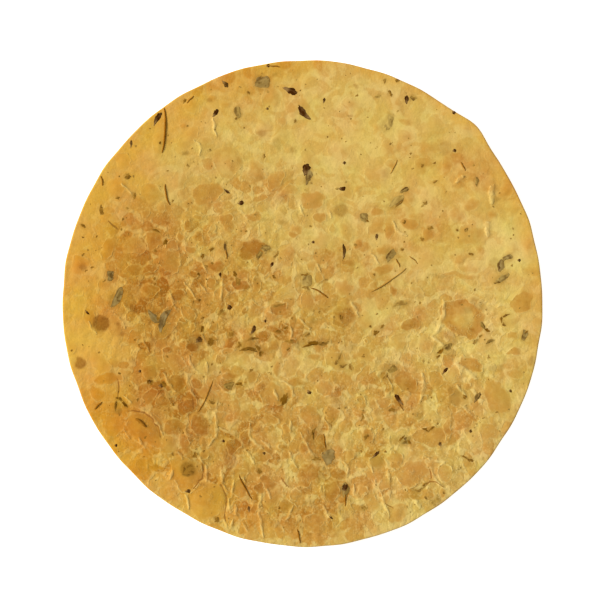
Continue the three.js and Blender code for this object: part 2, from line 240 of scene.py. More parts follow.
# Smaller ones between them, with the same columns
TILES = [
    (-35, 52.4, 5.2, 3.7, 0, 0.45), (-38.4, 25.2, 4.1, 4.1, 0, 0.75), (-42.5, 28.5, 3.7, 3, 90, 0.7),
    (-45.5, 24.8, 3.7, 3.7, 0, 0.7), (-40.6, 10.6, 4.8, 3.7, 0, 0.8), (-23.1, 6.9, 5.6, 5.2, 0, 1.0),
    (-3.4, 25.5, 3.7, 3, 0, 0.6), (-33.2, 25.5, 3, 2.2, 0, 0.5), (33.9, 5, 3.7, 3.4, 0, 0.8),
    (27.2, 6.9, 4.5, 3, 0, 0.6), (59.3, 16.2, 4.5, 4.5, 0, 0.5), (-43.4, -52.7, 6.7, 4.1, 90, 0.6),
    (70.1, 55.3, 5, 4, 0, 0.1), (8.6, 0.2, 6, 3.7, 0, 0.5), (-49.9, -17.3, 4, 4, 0, 0.75),
    (-72.3, -27.8, 9.3, 5.2, 0, 0.5), (-11.6, -43, 7.5, 4.5, 0, 0.6), (-30.6, -21, 4.5, 4.5, 0, 0.6),
    (28.3, -59, 6, 6, 0, 0.4), (22.7, -69.5, 6, 5.2, 90, 0.4), (17.9, -56.5, 6, 3.7, 90, 0.4),
    (-33.5, 76.6, 3.4, 3, 0, 0.45), (-28.7, 74, 5.2, 3, 0, 0.35), (-7.1, 67.6, 3.7, 3, 0, 0.3),
    (10.8, 67.6, 3, 3, 0, 0.1), (38.4, 67.6, 4.5, 3, 0, 0.45), (20.9, 67.6, 5.2, 3.7, 90, 0.15),
    (-44.4, 66.2, 3.7, 2.2, 0, 0.45), (28, 65.4, 4.5, 3.7, 90, 0.25), (6.7, 62.4, 8.2, 3, 0, 0.2),
    (-36.5, 59.4, 7.5, 5.2, 20, 0.25), (47, 58, 8.9, 7.5, 0, 0.25), (33.2, 51.6, 5.2, 3.7, 90, 0.4),
    (54, 51.6, 7.5, 5.2, 90, 0.35), (26.1, 47.9, 11.2, 4.5, 0, 0.2), (41, 44.9, 3.7, 3, 0, 0.15),
    (-56.7, 42.3, 8.9, 7.5, 0, 0.3), (-5.2, 42.3, 7.5, 4.5, 0, 0.35), (20.5, 42.3, 3.7, 3.7, 0, 0.4),
    (76.4, 42.3, 9.7, 6, 90, 0.25), (-14.9, 39.3, 6.7, 3.7, 0, 0.4), (-41.7, 37.8, 5.2, 4.5, 20, 0.35),
    (62.6, 36.7, 7.5, 4.5, 0, 0.4), (-52.2, 36.3, 6.7, 4.5, 90, 0.2), (77.5, 34.8, 7.5, 5.2, 90, 0.2),
    (28.3, 34.1, 5.2, 4.5, 90, 0.55), (-58.1, 33.4, 3.7, 2.2, 0, 0.6), (71.2, 33, 3.7, 3, 0, 0.5),
    (-39.1, 32.2, 3.4, 2.6, 0, 0.5), (6.7, 31.9, 6, 4.5, 0, 0.5), (40.3, 29.6, 8.2, 4.5, 0, 0.5),
    (-33.2, 28.5, 3, 2.6, 0, 0.3), (-63, 28.1, 2.6, 2.2, 0, 0.5), (-1.9, 27.8, 4.5, 3, 0, 0.4),
    (11.9, 27.4, 3.7, 3, 90, 0.35), (46.6, 25.9, 6.3, 5.2, 90, 0.6), (-55.9, 23.7, 7.5, 6, 90, 0.6),
    (21.6, 22.5, 3.4, 3, 90, 0.9), (-48.5, 21.8, 5.2, 4.5, 90, 0.5), (83.9, 21.8, 6, 3, 90, 0.25),
    (-62.2, 21.1, 11.2, 6, 0, 0.15), (-41.7, 19.9, 5.2, 4.5, 0, 0.4), (29.8, 19.9, 5.2, 4.5, 90, 0.55),
    (66.3, 19.9, 3.7, 3.7, 0, 0.45), (17.9, 15.1, 7.5, 3.6, 0, 0.85), (3.7, 14, 4.5, 3, 90, 0.35),
    (-56.7, 13.2, 6, 4.5, 0, 0.7), (85.3, 12.1, 6, 5.2, 0, 0.25), (26.8, 10.6, 3.7, 3.7, 0, 0.5),
    (59.6, 10.2, 12.7, 2.2, 0, 0.4), (6.3, 9.1, 3.4, 3.4, 0, 0.55), (-33.9, 7.3, 5.2, 3.7, 90, 0.55),
    (-17.1, 6.1, 6.7, 3.7, 90, 0.65), (-56.7, 5, 6.7, 5.2, 0, 0.65), (42.1, 5, 5.2, 3.7, 0, 0.15),
    (16.4, 0.2, 4.1, 3.4, 0, 0.9), (-7.8, -2.4, 7.5, 4.8, 20, 0.75), (-21.2, -2.8, 4, 3.6, 90, 0.85),
    (-42.9, -3.2, 5.6, 5.2, 90, 0.55), (-29.4, -3.9, 3, 1.5, 0, 0.7), (-44, -6.5, 3.7, 1.9, 0, 0.75),
    (-3.4, -7.3, 5.6, 3.7, 90, 0.7), (-41, -8.8, 3.4, 2.2, 90, 0.6), (-32.8, -9.1, 3.7, 3.7, 0, 0.6),
    (-9.3, -10.2, 6, 3.7, -20, 0.95), (77.9, -12.1, 4.1, 3.7, 0, 0.6), (-3, -14, 3.4, 2.2, 0, 0.8),
    (23.9, -14, 2.2, 1.9, 90, 0.75), (-40.6, -16.2, 4.5, 3.4, 0, 0.9), (-10.4, -16.2, 4.8, 3.7, 0, 0.6),
    (-27.6, -17.7, 5.2, 2.2, 0, 0.5), (79, -17.7, 6.7, 2.2, 0, 0.5), (4.1, -19.9, 6, 3, 0, 0.6),
    (-39.9, -22.2, 3, 2.2, 90, 0.5), (-9.7, -24.4, 6, 3, 90, 0.55), (78.6, -25.9, 6.3, 3.7, 0, 0.3),
    (-26.5, -27, 6, 3, 0, 0.6), (-20.9, -28.5, 3.4, 1.9, 90, 0.75), (-2.2, -29.3, 7.5, 3.2, 0, 0.75),
    (-38.8, -30.7, 4.8, 4.8, 0, 0.75), (-15.3, -31.1, 4.5, 3.7, 0, 0.65), (61.1, -31.1, 5.6, 3, 0, 0.5),
    (12.7, -32.2, 6, 3.7, 90, 0.85), (-56.7, -34.8, 6.7, 5.2, 0, 0.65), (45.8, -35.2, 3.4, 3, 90, 0.45),
    (-51.4, -36.7, 6.7, 6, 0, 0.6), (22.4, -36.7, 4.8, 4.1, 90, 0.6), (30.6, -37.5, 6, 3, 0, 0.5),
    (-43.2, -38.9, 8.2, 6.7, 0, 0.85), (-24.2, -38.9, 11.9, 3.7, 90, 0.5),
    (-30.2, -41.6, 4.1, 3.7, 0, 0.4), (10.8, -41.6, 6.7, 5.6, 0, 0.65),
    (-69.7, -45.3, 9.7, 9.7, 0, 0.4), (-6, -46.4, 4.5, 3.4, 90, 0.65), (-16.8, -47.1, 4.5, 4.5, 0, 0.6),
    (53.7, -47.1, 8.2, 3.7, 90, 0.6), (69.3, -47.1, 8.9, 7.5, 0, 0.35),
    (-21.2, -50.1, 5.2, 4.5, 90, 0.95), (24.6, -50.1, 6, 6, 0, 0.65), (-6.7, -53.5, 3.7, 2.6, 0, 0.75),
    (0.7, -53.9, 3.7, 3.7, 0, 0.7), (-17.1, -53.9, 3.7, 3.7, 0, 0.85), (-36.5, -56.5, 4.5, 3.7, 0, 0.6),
    (35, -58.3, 8.2, 7.5, 90, 0.5), (45.5, -59.1, 5.2, 3.7, 0, 0.55), (-23.9, -62.8, 6.7, 5.2, 0, 0.55),
    (30.9, -67.3, 4.5, 4.5, 0, 0.3), (-11.9, -67.6, 8.9, 4.5, 0, 0.65),
    (-23.1, -68.8, 7.5, 5.2, 90, 0.45), (-16.4, -68.8, 3.7, 3.7, 0, 0.7),
    (52.2, -70.6, 3.7, 2.2, 90, 0.55), (-2.6, -71.4, 6, 5.2, 90, 0.55),
    (10.4, -71.4, 10.4, 5.2, 90, 0.65), (30.9, -73.2, 3.7, 3.7, 0, 0.3),
    (-17.5, -76.2, 5.2, 3, 90, 0.65), (18.6, -77.7, 6, 3, 90, 0.15), (9.7, -82.6, 6.7, 5.2, 90, 0.75),
]
print(len(LARGE_PLATES), "large plates and", len(TILES), "tiles")

# %% Ovals and repeatable draws
DRAW_FACTOR = 48271
DRAW_PRIME = 2147483647
GOLDEN_TURN = math.pi * (3 - math.sqrt(5))  # from each spot of an even spiral to the next


def make_draw(seed):
    """A repeatable stream of numbers between two limits."""
    state = seed

    def draw(low, high):
        nonlocal state
        state = state * DRAW_FACTOR % DRAW_PRIME
        return low + (high - low) * state / DRAW_PRIME

    return draw


def spiral_spot(k, count, reach):
    """The place of one of many spots that an even spiral spreads over the round."""
    radius = reach * math.sqrt((k + 0.5) / count)
    return radius * math.cos(k * GOLDEN_TURN), radius * math.sin(k * GOLDEN_TURN)


def own_axes(x, y, plate):
    """Each point along and across a plate's oval, which ends at 1."""
    px, py, length, breadth, turn = plate[:5]
    cosine, sine = math.cos(math.radians(turn)), math.sin(math.radians(turn))
    along = (x - px) * cosine + (y - py) * sine
    across = (y - py) * cosine - (x - px) * sine
    return 2 * along / length, 2 * across / breadth


def mean_radius(plate):
    """The radius of the circle that is as large as a plate's oval."""
    return math.sqrt(plate[2] * plate[3]) / 2


def depth_inside(x, y, plate):
    """How deep in a plate's oval each point lies, in millimetres: 0 on the edge, less outside."""
    along, across = own_axes(x, y, plate)
    return (1 - np.hypot(along, across)) * mean_radius(plate)


print("the first plate is as large as a circle of", round(2 * mean_radius(LARGE_PLATES[0]), 1), "mm")

# %% [markdown]
# ## Where the press was hot
# A round is never browned evenly: the press is hotter on one side, and dough that stands off it stays
# pale. A picture could be painted for it, but soft areas, each a row, are easy to move and to read.

# %% Roasted, warm and pale areas
# Place, reach along x and y, and how much more browned the dough is there
ROAST_AREAS = [
    (-55, 8, 20, 22, 0.95), (-52, -35, 26, 22, 0.7), (-30, -46, 24, 22, 0.5), (-10, -10, 26, 22, 0.4),
    (0, -72, 36, 20, 0.6), (0, -42, 22, 16, 0.2), (40, -48, 36, 24, 0.45), (-40, 35, 24, 18, 0.25),
    (49, 58, 16, 9, 0.3), (54, 37, 20, 10, 0.3), (76, 38, 10, 8, 0.3), (10, 0, 24, 24, 0.25),
    (12, -16, 44, 28, 0.18), (-12, 42, 9, 6, 0.45), (45, 26, 6, 4, 0.3), (33, 33, 5, 4, 0.4),
    (12, 15, 8, 4, 0.4), (-18, 11, 13, 9, 0.3), (66, -41, 12, 5, 0.4), (50, -14, 8, 6, 0.4),
    (14, -15, 12, 8, 0.4), (9, -62, 4, 7, 0.4), (-45, -60, 12, 6, 0.4), (50, 5, 7, 8, 0.3),
    (38, -33, 6, 4, 0.4), (-35, 82, 26, 7, 0.35), (-5, 90, 22, 5, 0.5), (-60, 62, 8, 8, 0.3),
    (-8, -80, 14, 9, 0.4), (-30, -29, 22, 6, 0.4), (18, 3, 8, 6, 0.3), (30, 2, 10, 6, 0.3),
    (50, -35, 10, 9, 0.3), (-15, -70, 8, 5, 0.4), (-26, 10, 6, 8, 0.3), (3, -30, 4, 3, 0.6),
    (-28, -62, 5, 3, 0.4), (-42, -72, 4, 3, 0.4), (15, 16, 4, 3, 0.4), (73, -25, 6, 3, 0.5),
    (74, -44, 4, 4, 0.4), (-65, -22, 4, 4, 0.4), (29, -28, 5, 4, 0.4), (53, 7, 4, 5, 0.4),
    (-25, 44, 3, 4, 0.4), (-17, 46, 4, 3, 0.4), (-9, 39, 3, 3, 0.4), (10, 42, 3, 3, 0.5),
    (17, -82, 4, 4, 0.5), (-27, -46, 5, 4, 0.4), (-22, 21, 4, 4, 0.5), (-62, -57, 8, 7, 0.25),
    (75, 46, 6, 8, 0.2),
]
# Where the dough was thinner and turned from yellow to orange
WARM_AREAS = [
    (-85, -8, 55, 80, 1.0), (-52, 72, 20, 16, 0.4), (-20, 86, 24, 8, 0.5), (55, 50, 30, 20, 0.35),
    (86, 0, 8, 32, 0.35), (10, 62, 18, 6, 0.3), (40, 24, 16, 10, 0.3), (-34, -74, 9, 8, 0.5),
    (-62, -57, 8, 8, 0.6), (57, 47, 10, 6, 0.3), (75, 45, 7, 10, 0.5),
]
# Where it stayed pale between the blisters
PALE_AREAS = [
    (-36.2, -24.8, 8, 6, 0.7), (-34.7, -39.5, 4, 4, 0.5), (-26, -37, 6, 7, 0.6), (-34, -59, 7, 5, 0.4),
    (-2.2, -24, 10, 7, 0.7), (-4, -63, 5, 8, 0.5), (-9, -71, 6, 5, 0.5), (15, -84, 5, 7, 0.5),
    (77.5, 21.5, 8, 8, 1.0), (-17.5, -23, 9, 6, 0.6), (-80, -16, 12, 8, 0.65), (68, -43, 8, 6, 0.5),
    (20, -20, 9, 7, 0.5), (50, -40, 6, 5, 0.3), (25, -4, 5, 7, 0.6), (70, -17, 6, 4, 0.5),
    (-48, -53, 4, 4, 0.6), (-53, -43, 4, 4, 0.4), (-35, -34, 4, 3, 0.5), (-61, -37, 4, 3, 0.4),
    (-45, 50, 14, 10, 0.3), (9, 24, 5, 4, 0.4), (20, 56, 9, 6, 0.6), (48, 67, 10, 6, 0.3),
    (72, 42, 3, 5, 0.15), (37, -14, 4, 4, 0.4), (-50, -22, 5, 3, 0.5), (-38, -77, 8, 5, 0.5),
    (-36, 63, 8, 4, 0.3), (20, -62, 6, 4, 0.3), (-3, 3, 6, 4, 0.4), (77, -36, 4, 6, 0.4),
    (64, -53, 5, 4, 0.3), (33, -80, 14, 6, 0.2), (-48, 39, 4, 4, 0.5), (-63, 4, 4, 3, 0.25),
    (-20, -38, 4, 6, 0.6), (-9, -34, 4, 3, 0.5), (-11, -51, 4, 5, 0.6), (14, -50, 4, 3, 0.5),
    (25, -63, 7, 4, 0.5), (32, -49, 4, 3, 0.5), (5, -4, 4, 4, 0.5), (-60, -9, 4, 3, 0.5),
    (-67, -24, 4, 9, 0.5), (18, 6, 7, 5, 0.4), (70, 66, 14, 14, 0.2), (82, 30, 8, 16, 0.2),
    (-25, 17, 4, 4, 0.4), (-64, 17, 7, 4, 0.2), (-16, -7, 3, 3, 0.5), (-20, -61, 4, 4, 0.5),
    (-25, -20, 5, 4, 0.4), (45, -39, 5, 4, 0.4), (2, 52, 5, 6, 0.3), (46, -16, 4, 4, 0.6),
    (29, -3, 8, 7, 0.5), (-24, -7, 3, 3, 0.5), (-50, -15, 3, 3, 0.5), (2, 85, 6, 4, 0.5),
    (-25, 82, 6, 3, 0.4), (-5, -42, 5, 4, 0.5), (45, 42, 8, 10, 0.3), (46, 15, 5, 4, 0.4),
    (-75, 10, 5, 6, 0.4), (-56, -53, 7, 4, 0.4), (36, 64, 7, 5, 0.4), (64, 38, 10, 6, 0.3),
    (78, -5, 5, 5, 0.3), (-70, -37, 6, 5, 0.3), (5, -35, 5, 4, 0.3), (-62, 3, 5, 4, 0.3),
    (-46, 12, 3, 8, 0.3), (-49, -5, 3, 4, 0.3), (7, -11.5, 5, 3, 0.4), (40, -57, 4, 4, 0.5),
    (49, -62, 3, 4, 0.5), (60, -50, 6, 4, 0.4), (35, -75, 8, 3, 0.4), (-31, -47, 2.5, 5, 0.5),
    (45, 35, 4, 3, 0.4), (9, 72, 4, 4, 0.4), (-57, 53, 4, 4, 0.3), (-38, 36, 4, 3, 0.3),
]


def soft_areas(x, y, base, areas):
    """A value that soft round areas raise above its base, up to 1."""
    level = base + 0 * x
    for ax, ay, reach_x, reach_y, change in areas:
        level = level + change * np.exp(-((x - ax) / reach_x) ** 2 - ((y - ay) / reach_y) ** 2)
    return np.clip(level, 0, 1)


LEAST_ROAST = 0.06
PATCHES = [(1, 7.5, 31), (0.6, 3.6, 32)]  # weight, size and seed of the fields that make the roast patchy
PATCH_STRENGTH = 0.85
PATCH_CEILING = 1.25  # patches show less, the closer the roast is to this


def roast(x, y):
    """How strongly the press browned each part of the round, in uneven patches."""
    level = soft_areas(x, y, LEAST_ROAST, ROAST_AREAS)
    patches = sum(weight * soft_field(x, y, size, seed) for weight, size, seed in PATCHES)
    uneven = level * (1 + PATCH_STRENGTH * patches * (PATCH_CEILING - level))
    return np.clip(uneven - soft_areas(x, y, 0, PALE_AREAS), 0, 1)


print("roast in the middle of the round:", roast(np.array(0.0), np.array(0.0)).round(2))

# %% Small plates, sown as on the solid
SMALL_COUNT = 150
SMALL_REACH = 86
SMALL_STAGGER = 3.5
SMALL_LENGTH = (6, 10.5)
SMALL_BREADTH = (5, 8.5)
SMALL_SEED = 7193
SMALL_APART = 3  # its breadth over this is the least way from a small plate's middle to a drawn plate
SMALL_TOAST = (0.2, 0.8)  # the least, and what the roast adds
SMALL_TOAST_SHARE = (0.35, 1)
SMALL_TOAST_SEED = 5407


def sow_small_plates():
    """The small plates of the solid, by the same spiral and the same draws, where no drawn plate is."""
    draw = make_draw(SMALL_SEED)
    toast_draw = make_draw(SMALL_TOAST_SEED)
    sown = []
    for k in range(SMALL_COUNT):
        x, y = spiral_spot(k, SMALL_COUNT, SMALL_REACH)
        x = x + draw(-SMALL_STAGGER, SMALL_STAGGER)
        y = y + draw(-SMALL_STAGGER, SMALL_STAGGER)
        length, breadth = draw(*SMALL_LENGTH), draw(*SMALL_BREADTH)
        turn = math.degrees(draw(0, math.pi))
        if all(depth_inside(x, y, plate) < -breadth / SMALL_APART for plate in LARGE_PLATES + TILES):
            toast = SMALL_TOAST[0] + SMALL_TOAST[1] * roast(x, y) * toast_draw(*SMALL_TOAST_SHARE)
            sown.append((x, y, length, breadth, turn, toast))
    return sown


SMALL_PLATES = sow_small_plates()
print(len(SMALL_PLATES), "small plates")

# %% Crumb plates
CRUMB_COUNT = 1300
CRUMB_STAGGER = 1.9
CRUMB_SIZE = (4.4, 8)
CRUMB_SLIM = (0.5, 0.95)
CRUMB_TOAST = (0.75, 1.2)
CRUMB_SEED = 8111


def sow_crumb_plates():
    """The finest plates, close to each other all over the round, toasted where the roast is strong."""
    draw = make_draw(CRUMB_SEED)
    sown = []
    for k in range(CRUMB_COUNT):
        x, y = spiral_spot(k, CRUMB_COUNT, MEAN_RADIUS)
        x = x + draw(-CRUMB_STAGGER, CRUMB_STAGGER)
        y = y + draw(-CRUMB_STAGGER, CRUMB_STAGGER)
        size = draw(*CRUMB_SIZE)
        breadth, turn = size * draw(*CRUMB_SLIM), draw(0, 180)
        sown.append((x, y, size, breadth, turn, roast(x, y) * draw(*CRUMB_TOAST)))
    return sown


CRUMB_PLATES = sow_crumb_plates()
print(len(CRUMB_PLATES), "crumb plates")

# %% [markdown]
# ## The height of the skin
# Dough never follows a drawn oval, so the plates' outlines are bent by soft random fields before they
# are read. The same pass finds each point's deepest plate and the runner-up: their difference is the
# distance to the crease between two plates. A sculpted mesh could be as lively, but the flakes have to
# lie on the skin, so its height is a function that they can ask too.

# %% Which plate a point is on
# How far outlines wander, over what length, and seed
BENDS = [(1.0, 9.0, 11), (0.8, 3.9, 13), (0.4, 1.7, 15)]
OUTSIDE = -6.0  # the depth of a point that is far from any plate
PLATE_SIDES = 7
SIDE_REACH = (0.72, 1.02)  # where the straight sides cut an oval that ends at 1
ROUND_REACH = 1.08
PLACE_SEED = (1000, 10)  # a plate's own sides are drawn from its place
GAP = 0.3  # how far two plates that meet stay apart
CRUMB_GAP = 0.12
GAP_SLOPE = 0.6
FULL_RADIUS = 4.5  # a plate's edge wanders less where the plate is smaller than this
LEAST_SIZE = 0.2


def bend(x, y):
    """The points moved by soft random fields, so that a drawn oval comes out as dough does."""
    moved_x, moved_y = x, y
    for reach, size, seed in BENDS:
        shift_x, shift_y = shift(x, y, reach, size, seed)
        moved_x = moved_x + shift_x
        moved_y = moved_y + shift_y
    return moved_x, moved_y


def cut_depth(x, y, plate):
    """How deep in a plate each point lies, with its oval cut to a few straight sides."""
    along, across = own_axes(x, y, plate)
    seed = int(PLACE_SEED[0] * abs(plate[0]) + PLACE_SEED[1] * abs(plate[1]))
    rng = np.random.default_rng(seed)
    start = rng.uniform(0, TURN)
    depth = ROUND_REACH - np.hypot(along, across)
    for k, reach in enumerate(rng.uniform(*SIDE_REACH, PLATE_SIDES)):
        facing = start + TURN * k / PLATE_SIDES
        depth = np.minimum(depth, reach - along * math.cos(facing) - across * math.sin(facing))
    return depth * mean_radius(plate)


def read_plates(x, y, plates, gap):
    """For each point: how far inside its plate's edge it is, the plate's dome, toast and size up to 1."""
    best = np.full(x.shape, OUTSIDE)
    second = np.full(x.shape, OUTSIDE)
    dome = np.zeros(x.shape)
    toast = np.zeros(x.shape)
    radius = np.full(x.shape, FULL_RADIUS)
    for plate in plates:
        reach = plate[2] + abs(OUTSIDE)
        near = np.flatnonzero((abs(x - plate[0]) < reach) & (abs(y - plate[1]) < reach))
        depth = cut_depth(x[near], y[near], plate)
        wins = depth > best[near]
        second[near] = np.where(wins, best[near], np.maximum(second[near], depth))
        toast[near] = np.where(wins, plate[5], toast[near])
        swelling = mean_radius(plate) * smooth(depth / mean_radius(plate), 0, 1)
        dome[near] = np.where(wins, swelling, dome[near])
        radius[near] = np.where(wins, mean_radius(plate), radius[near])
        best[near] = np.where(wins, depth, best[near])
    edge = np.minimum(best, GAP_SLOPE * (best - second) - gap)
    size = np.clip(radius / FULL_RADIUS, LEAST_SIZE, 1)
    return {"edge": edge, "dome": dome, "toast": toast, "size": size}


print("a plate has", PLATE_SIDES, "sides, and", len(BENDS), "fields bend them")

# %% [markdown]
# ## Creases
# Where two blisters push against each other, the dough between them is squeezed up into a thin pale
# ridge that the press never browns. The long ones are strokes with two ends, a sideways bow and a width.
# A few thin dark lines are the reverse: a blister's steep side, whose shade is painted on. Curves could
# be laid over the crust for them, but a distance to each stroke serves both the relief and the paint.

# %% Strokes
# Two ends, sideways bow and width
CREASES = [
    (-33.2, 68.4, -32.1, 62.8, 0, 0.9), (-39.9, 60.9, -38.4, 55.3, 1.4, 0.9),
    (57.4, 44.9, 60, 47.1, 0, 1.3), (-67.1, 44.5, -63.7, 40.8, 0, 0.7),
    (70.8, 44.2, 70.4, 37.1, 0, 1.9), (-0.7, 36.7, 0.4, 33.4, 0, 0.7), (10.1, 34.1, 10.8, 32.2, 0, 0.7),
    (33.9, 30.4, 38.8, 25.2, -0.9, 1.1), (68.9, 30.4, 69.3, 25.5, 0, 1.9),
    (26.1, 18.4, 28.7, 15.1, 0, 0.7), (-36.9, 15.1, -35.8, 11.7, 0, 0.7), (6, 14.7, 7.1, 12.1, 0, 0.7),
    (-29.4, 8.8, -30.2, 1.3, 0, 0.9), (-43.6, 7.6, -39.5, 2, 0, 0.7), (-38, 7.6, -35.8, 4.3, 0, 0.7),
    (-49.2, 4.3, -46.2, -3.2, -0.4, 0.7), (52.6, 1.3, 48.1, -12.5, 1.8, 1.5),
    (-66.3, 0.2, -64.5, -2.8, 0, 0.7), (18.6, 0.2, 21.2, -4.7, 0, 1.5),
    (-67.8, -5.4, -65.6, -9.1, 0, 0.7), (-0.7, -5.8, 2.6, -9.5, 0, 0.9),
    (-79.4, -6.9, -76.4, -11, -0.4, 0.7), (-7.1, -7.3, -4.5, -13.6, 2, 0.9),
    (-37.3, -11.7, -35, -15.8, 0, 0.7), (48.1, -12.5, 53.7, -16.2, 0, 1.1),
    (-59.3, -12.9, -56.3, -18.4, -0.4, 0.7), (-42.1, -19.6, -39.1, -25.5, -0.7, 0.9),
    (-35.4, -21.8, -35.4, -25.2, 0, 0.9), (57, -22.5, 64.8, -27.8, 0, 1.9),
    (-51.4, -25.9, -47, -32.6, -0.8, 1.1), (44.7, -26.3, 44, -36.7, 0.8, 1.3),
    (-42.5, -27, -39.5, -34.5, -1.1, 1.1), (31.3, -27.8, 30.9, -34.5, 2.4, 0.9),
    (-8.2, -28.9, -3.4, -34.8, 1.6, 0.9), (-30.9, -30.4, -26.1, -33.4, -0.9, 0.9),
    (57.8, -30.4, 61.1, -34.8, 0, 0.9), (-10.4, -32.2, -9.3, -35.6, 0, 0.9),
    (-66.3, -34.1, -63.7, -36.7, 0, 0.7), (58.9, -37.8, 63.4, -41.6, 0, 1.1),
    (-60.4, -39.3, -52.9, -46.4, 1.2, 1.1), (-32.4, -40.8, -34.3, -52.7, 1.5, 1.1),
    (8.6, -43.4, 9.3, -49.4, 1.4, 0.9), (-42.1, -43.8, -39.9, -50.1, -2.6, 0.9),
    (-4.1, -44.2, -4.1, -47.9, 0, 0.9), (-19, -44.9, -17.9, -51.6, -1.1, 0.9),
    (-53.3, -46.4, -51.4, -49.4, 0, 0.9), (-31.3, -46.4, -24.6, -49, 0, 0.9),
    (-0.7, -47.9, 3.4, -55.3, 0, 0.7), (-65.6, -47.9, -64.1, -49.8, 0, 0.7),
    (32.8, -49.8, 32.8, -54.6, 0, 0.9), (-60.8, -50.1, -58.5, -53.5, 0, 0.9),
    (-14.9, -50.9, -11.6, -53.9, 0, 0.9), (2.6, -54.6, 4.5, -56.8, 0, 1.1),
    (-46.2, -55.3, -44.7, -57.6, 0, 0.9), (-20.1, -55.3, -17.9, -59.8, -0, 1.1),
    (-4.8, -55.3, -1.9, -60.6, -0.5, 1), (-38.8, -56.5, -36.9, -59.1, 0, 1),
    (45.5, -56.8, 53.7, -58.7, -0.8, 1.1), (30.9, -58, 33.5, -61.7, -0.4, 1.1),
    (15.7, -59.1, 16.8, -63.2, 0.8, 0.9), (25, -60.2, 26.1, -62.4, 0, 0.9),
    (-35.8, -60.6, -35.4, -65.8, 0, 1.1), (7.5, -61.3, 10.1, -64.3, 0, 1.5),
    (48.5, -62.1, 53.7, -68.8, -1.3, 1.1), (-48.1, -62.1, -49.2, -65, 0, 1.1),
    (-29.8, -62.1, -29.4, -65.8, 0, 1.1), (32.1, -62.8, 32.4, -65.4, 0, 1.1),
    (-25, -65.8, -26.1, -72.1, 0, 0.9), (-7.1, -65.8, -4.5, -68.8, 0, 1),
    (27.2, -65.8, 29.8, -70.6, -0.8, 0.9), (-38.4, -67.3, -41, -70.3, 0, 0.7),
    (-29.8, -67.3, -27.6, -69.5, 0, 0.9), (19.4, -67.6, 22, -73.2, -1.4, 1),
    (7.1, -68.4, 8.6, -73.6, -0.1, 1.1), (-13, -69.5, -11.6, -72.5, 0, 0.9),
    (29.8, -71.4, 32.4, -78.8, -0.4, 0.9), (-15.3, -71.4, -14.2, -86.7, -1, 1),
    (-42.9, -71.4, -42.1, -76.2, 0, 0.9), (-27.2, -73.2, -26.5, -77.7, 0, 0.9),
    (42.1, -73.2, 44, -76.2, 0, 1.5), (7.1, -75.1, 10.1, -79.2, 0.2, 1.1),
    (-24.6, -75.1, -24.6, -78.8, 0, 0.9), (-3.4, -75.8, -6, -80.7, 0, 0.9),
    (29.8, -78.1, 32.1, -79.9, 0, 0.9), (-28.7, -80.7, -27.6, -83.3, 0, 0.9),
    (-25.7, -80.7, -26.5, -83.7, 0, 0.9), (-22, -81.8, -20.5, -84.4, 0, 0.9),
]
# Painted shade along the steep sides of blisters, with the same columns
DARK_LINES = [
    (-71.9, 30.7, -68.6, 27.8, 0, 0.6), (-68.2, -28.5, -68.2, -35.2, 0, 0.5),
    (-40.6, -34.5, -40.3, -38.9, 0, 0.7), (-64.1, -40.1, -52.9, -49.4, 3.3, 0.6),
    (-37.3, -59.4, -40.6, -68.8, 1.6, 0.7), (47.7, -62.1, 48.1, -65, 0, 0.6),
    (-7.8, -65, -5.2, -68, 0, 0.6), (-30.2, -68, -28.7, -77.7, 1.3, 0.7),
    (44.7, -69.5, 52.2, -68, 2.3, 0.6), (31.3, -74.4, 33.5, -75.8, 0, 0.6),
    (-28.7, -78.5, -28.3, -80.7, 0, 0.6),
]
STROKE_REACH = 1.7
STROKE_ENDS = 2  # a stroke fades this much faster past its ends than beside them
STROKE_TIP = 0.7  # the share of its width that it has at its ends
STROKE_BELLY = 2  # how much it widens from there to its middle
FAR_SIDE = 9.0


def read_strokes(x, y, strokes):
    """For each point: how far beside the nearest stroke it is, in half widths, and how near it is."""
    side = np.full(x.shape, FAR_SIDE)
    near = np.zeros(x.shape)
    for x0, y0, x1, y1, bow, width in strokes:
        run_x, run_y = x1 - x0, y1 - y0
        length = math.hypot(run_x, run_y)
        reach = length / 2 + abs(bow) + STROKE_REACH
        close = np.flatnonzero((abs(x - (x0 + x1) / 2) < reach) & (abs(y - (y0 + y1) / 2) < reach))
        along = ((x[close] - x0) * run_x + (y[close] - y0) * run_y) / length ** 2
        share = np.clip(along, 0, 1)
        bowed = 4 * bow * share * (1 - share)
        across = ((y[close] - y0) * run_x - (x[close] - x0) * run_y) / length - bowed
        past = abs(along - share) * length
        here = 1 - (abs(across) + STROKE_ENDS * past) / STROKE_REACH
        wins = here > near[close]
        half_width = width / 2 * (STROKE_TIP + STROKE_BELLY * share * (1 - share))
        side[close] = np.where(wins, across / half_width, side[close])
        near[close] = np.maximum(near[close], here)
    return {"side": side, "near": near}


print(len(CREASES), "creases and", len(DARK_LINES), "dark lines")

# %% Height of the top skin
PLATE_STEP = 0.13  # the sharp rise at a plate's edge
PLATE_SHOULDER = 0.7
PLATE_DOME = 0.045  # the soft swelling of its middle, for each millimetre of its radius
CRUMB_STEP = 0.11
CRUMB_SHOULDER = 0.6
EDGE_RIDGE = 0.16
EDGE_RIDGE_WIDTH = 0.6
CREASE_RIDGE = 0.21
DARK_GROOVE = 0.12
SWELL = 0.1
RIPPLE = 0.09
# The share of its height that each form keeps in dough without crackle
PLATE_CALM = 0.35
CRUMB_CALM = 0.15
SWELL_CALM = 0.5
RIPPLE_CALM = 0.35
# The share of it that a plate smooths out
CRUMB_SMOOTHED = 0.7
RIPPLE_SMOOTHED = 0.6
STROKE_WINDING = (0.4, 1.9, 71)  # how far strokes wind, over what length, and seed
STROKE_FADE = 0.5
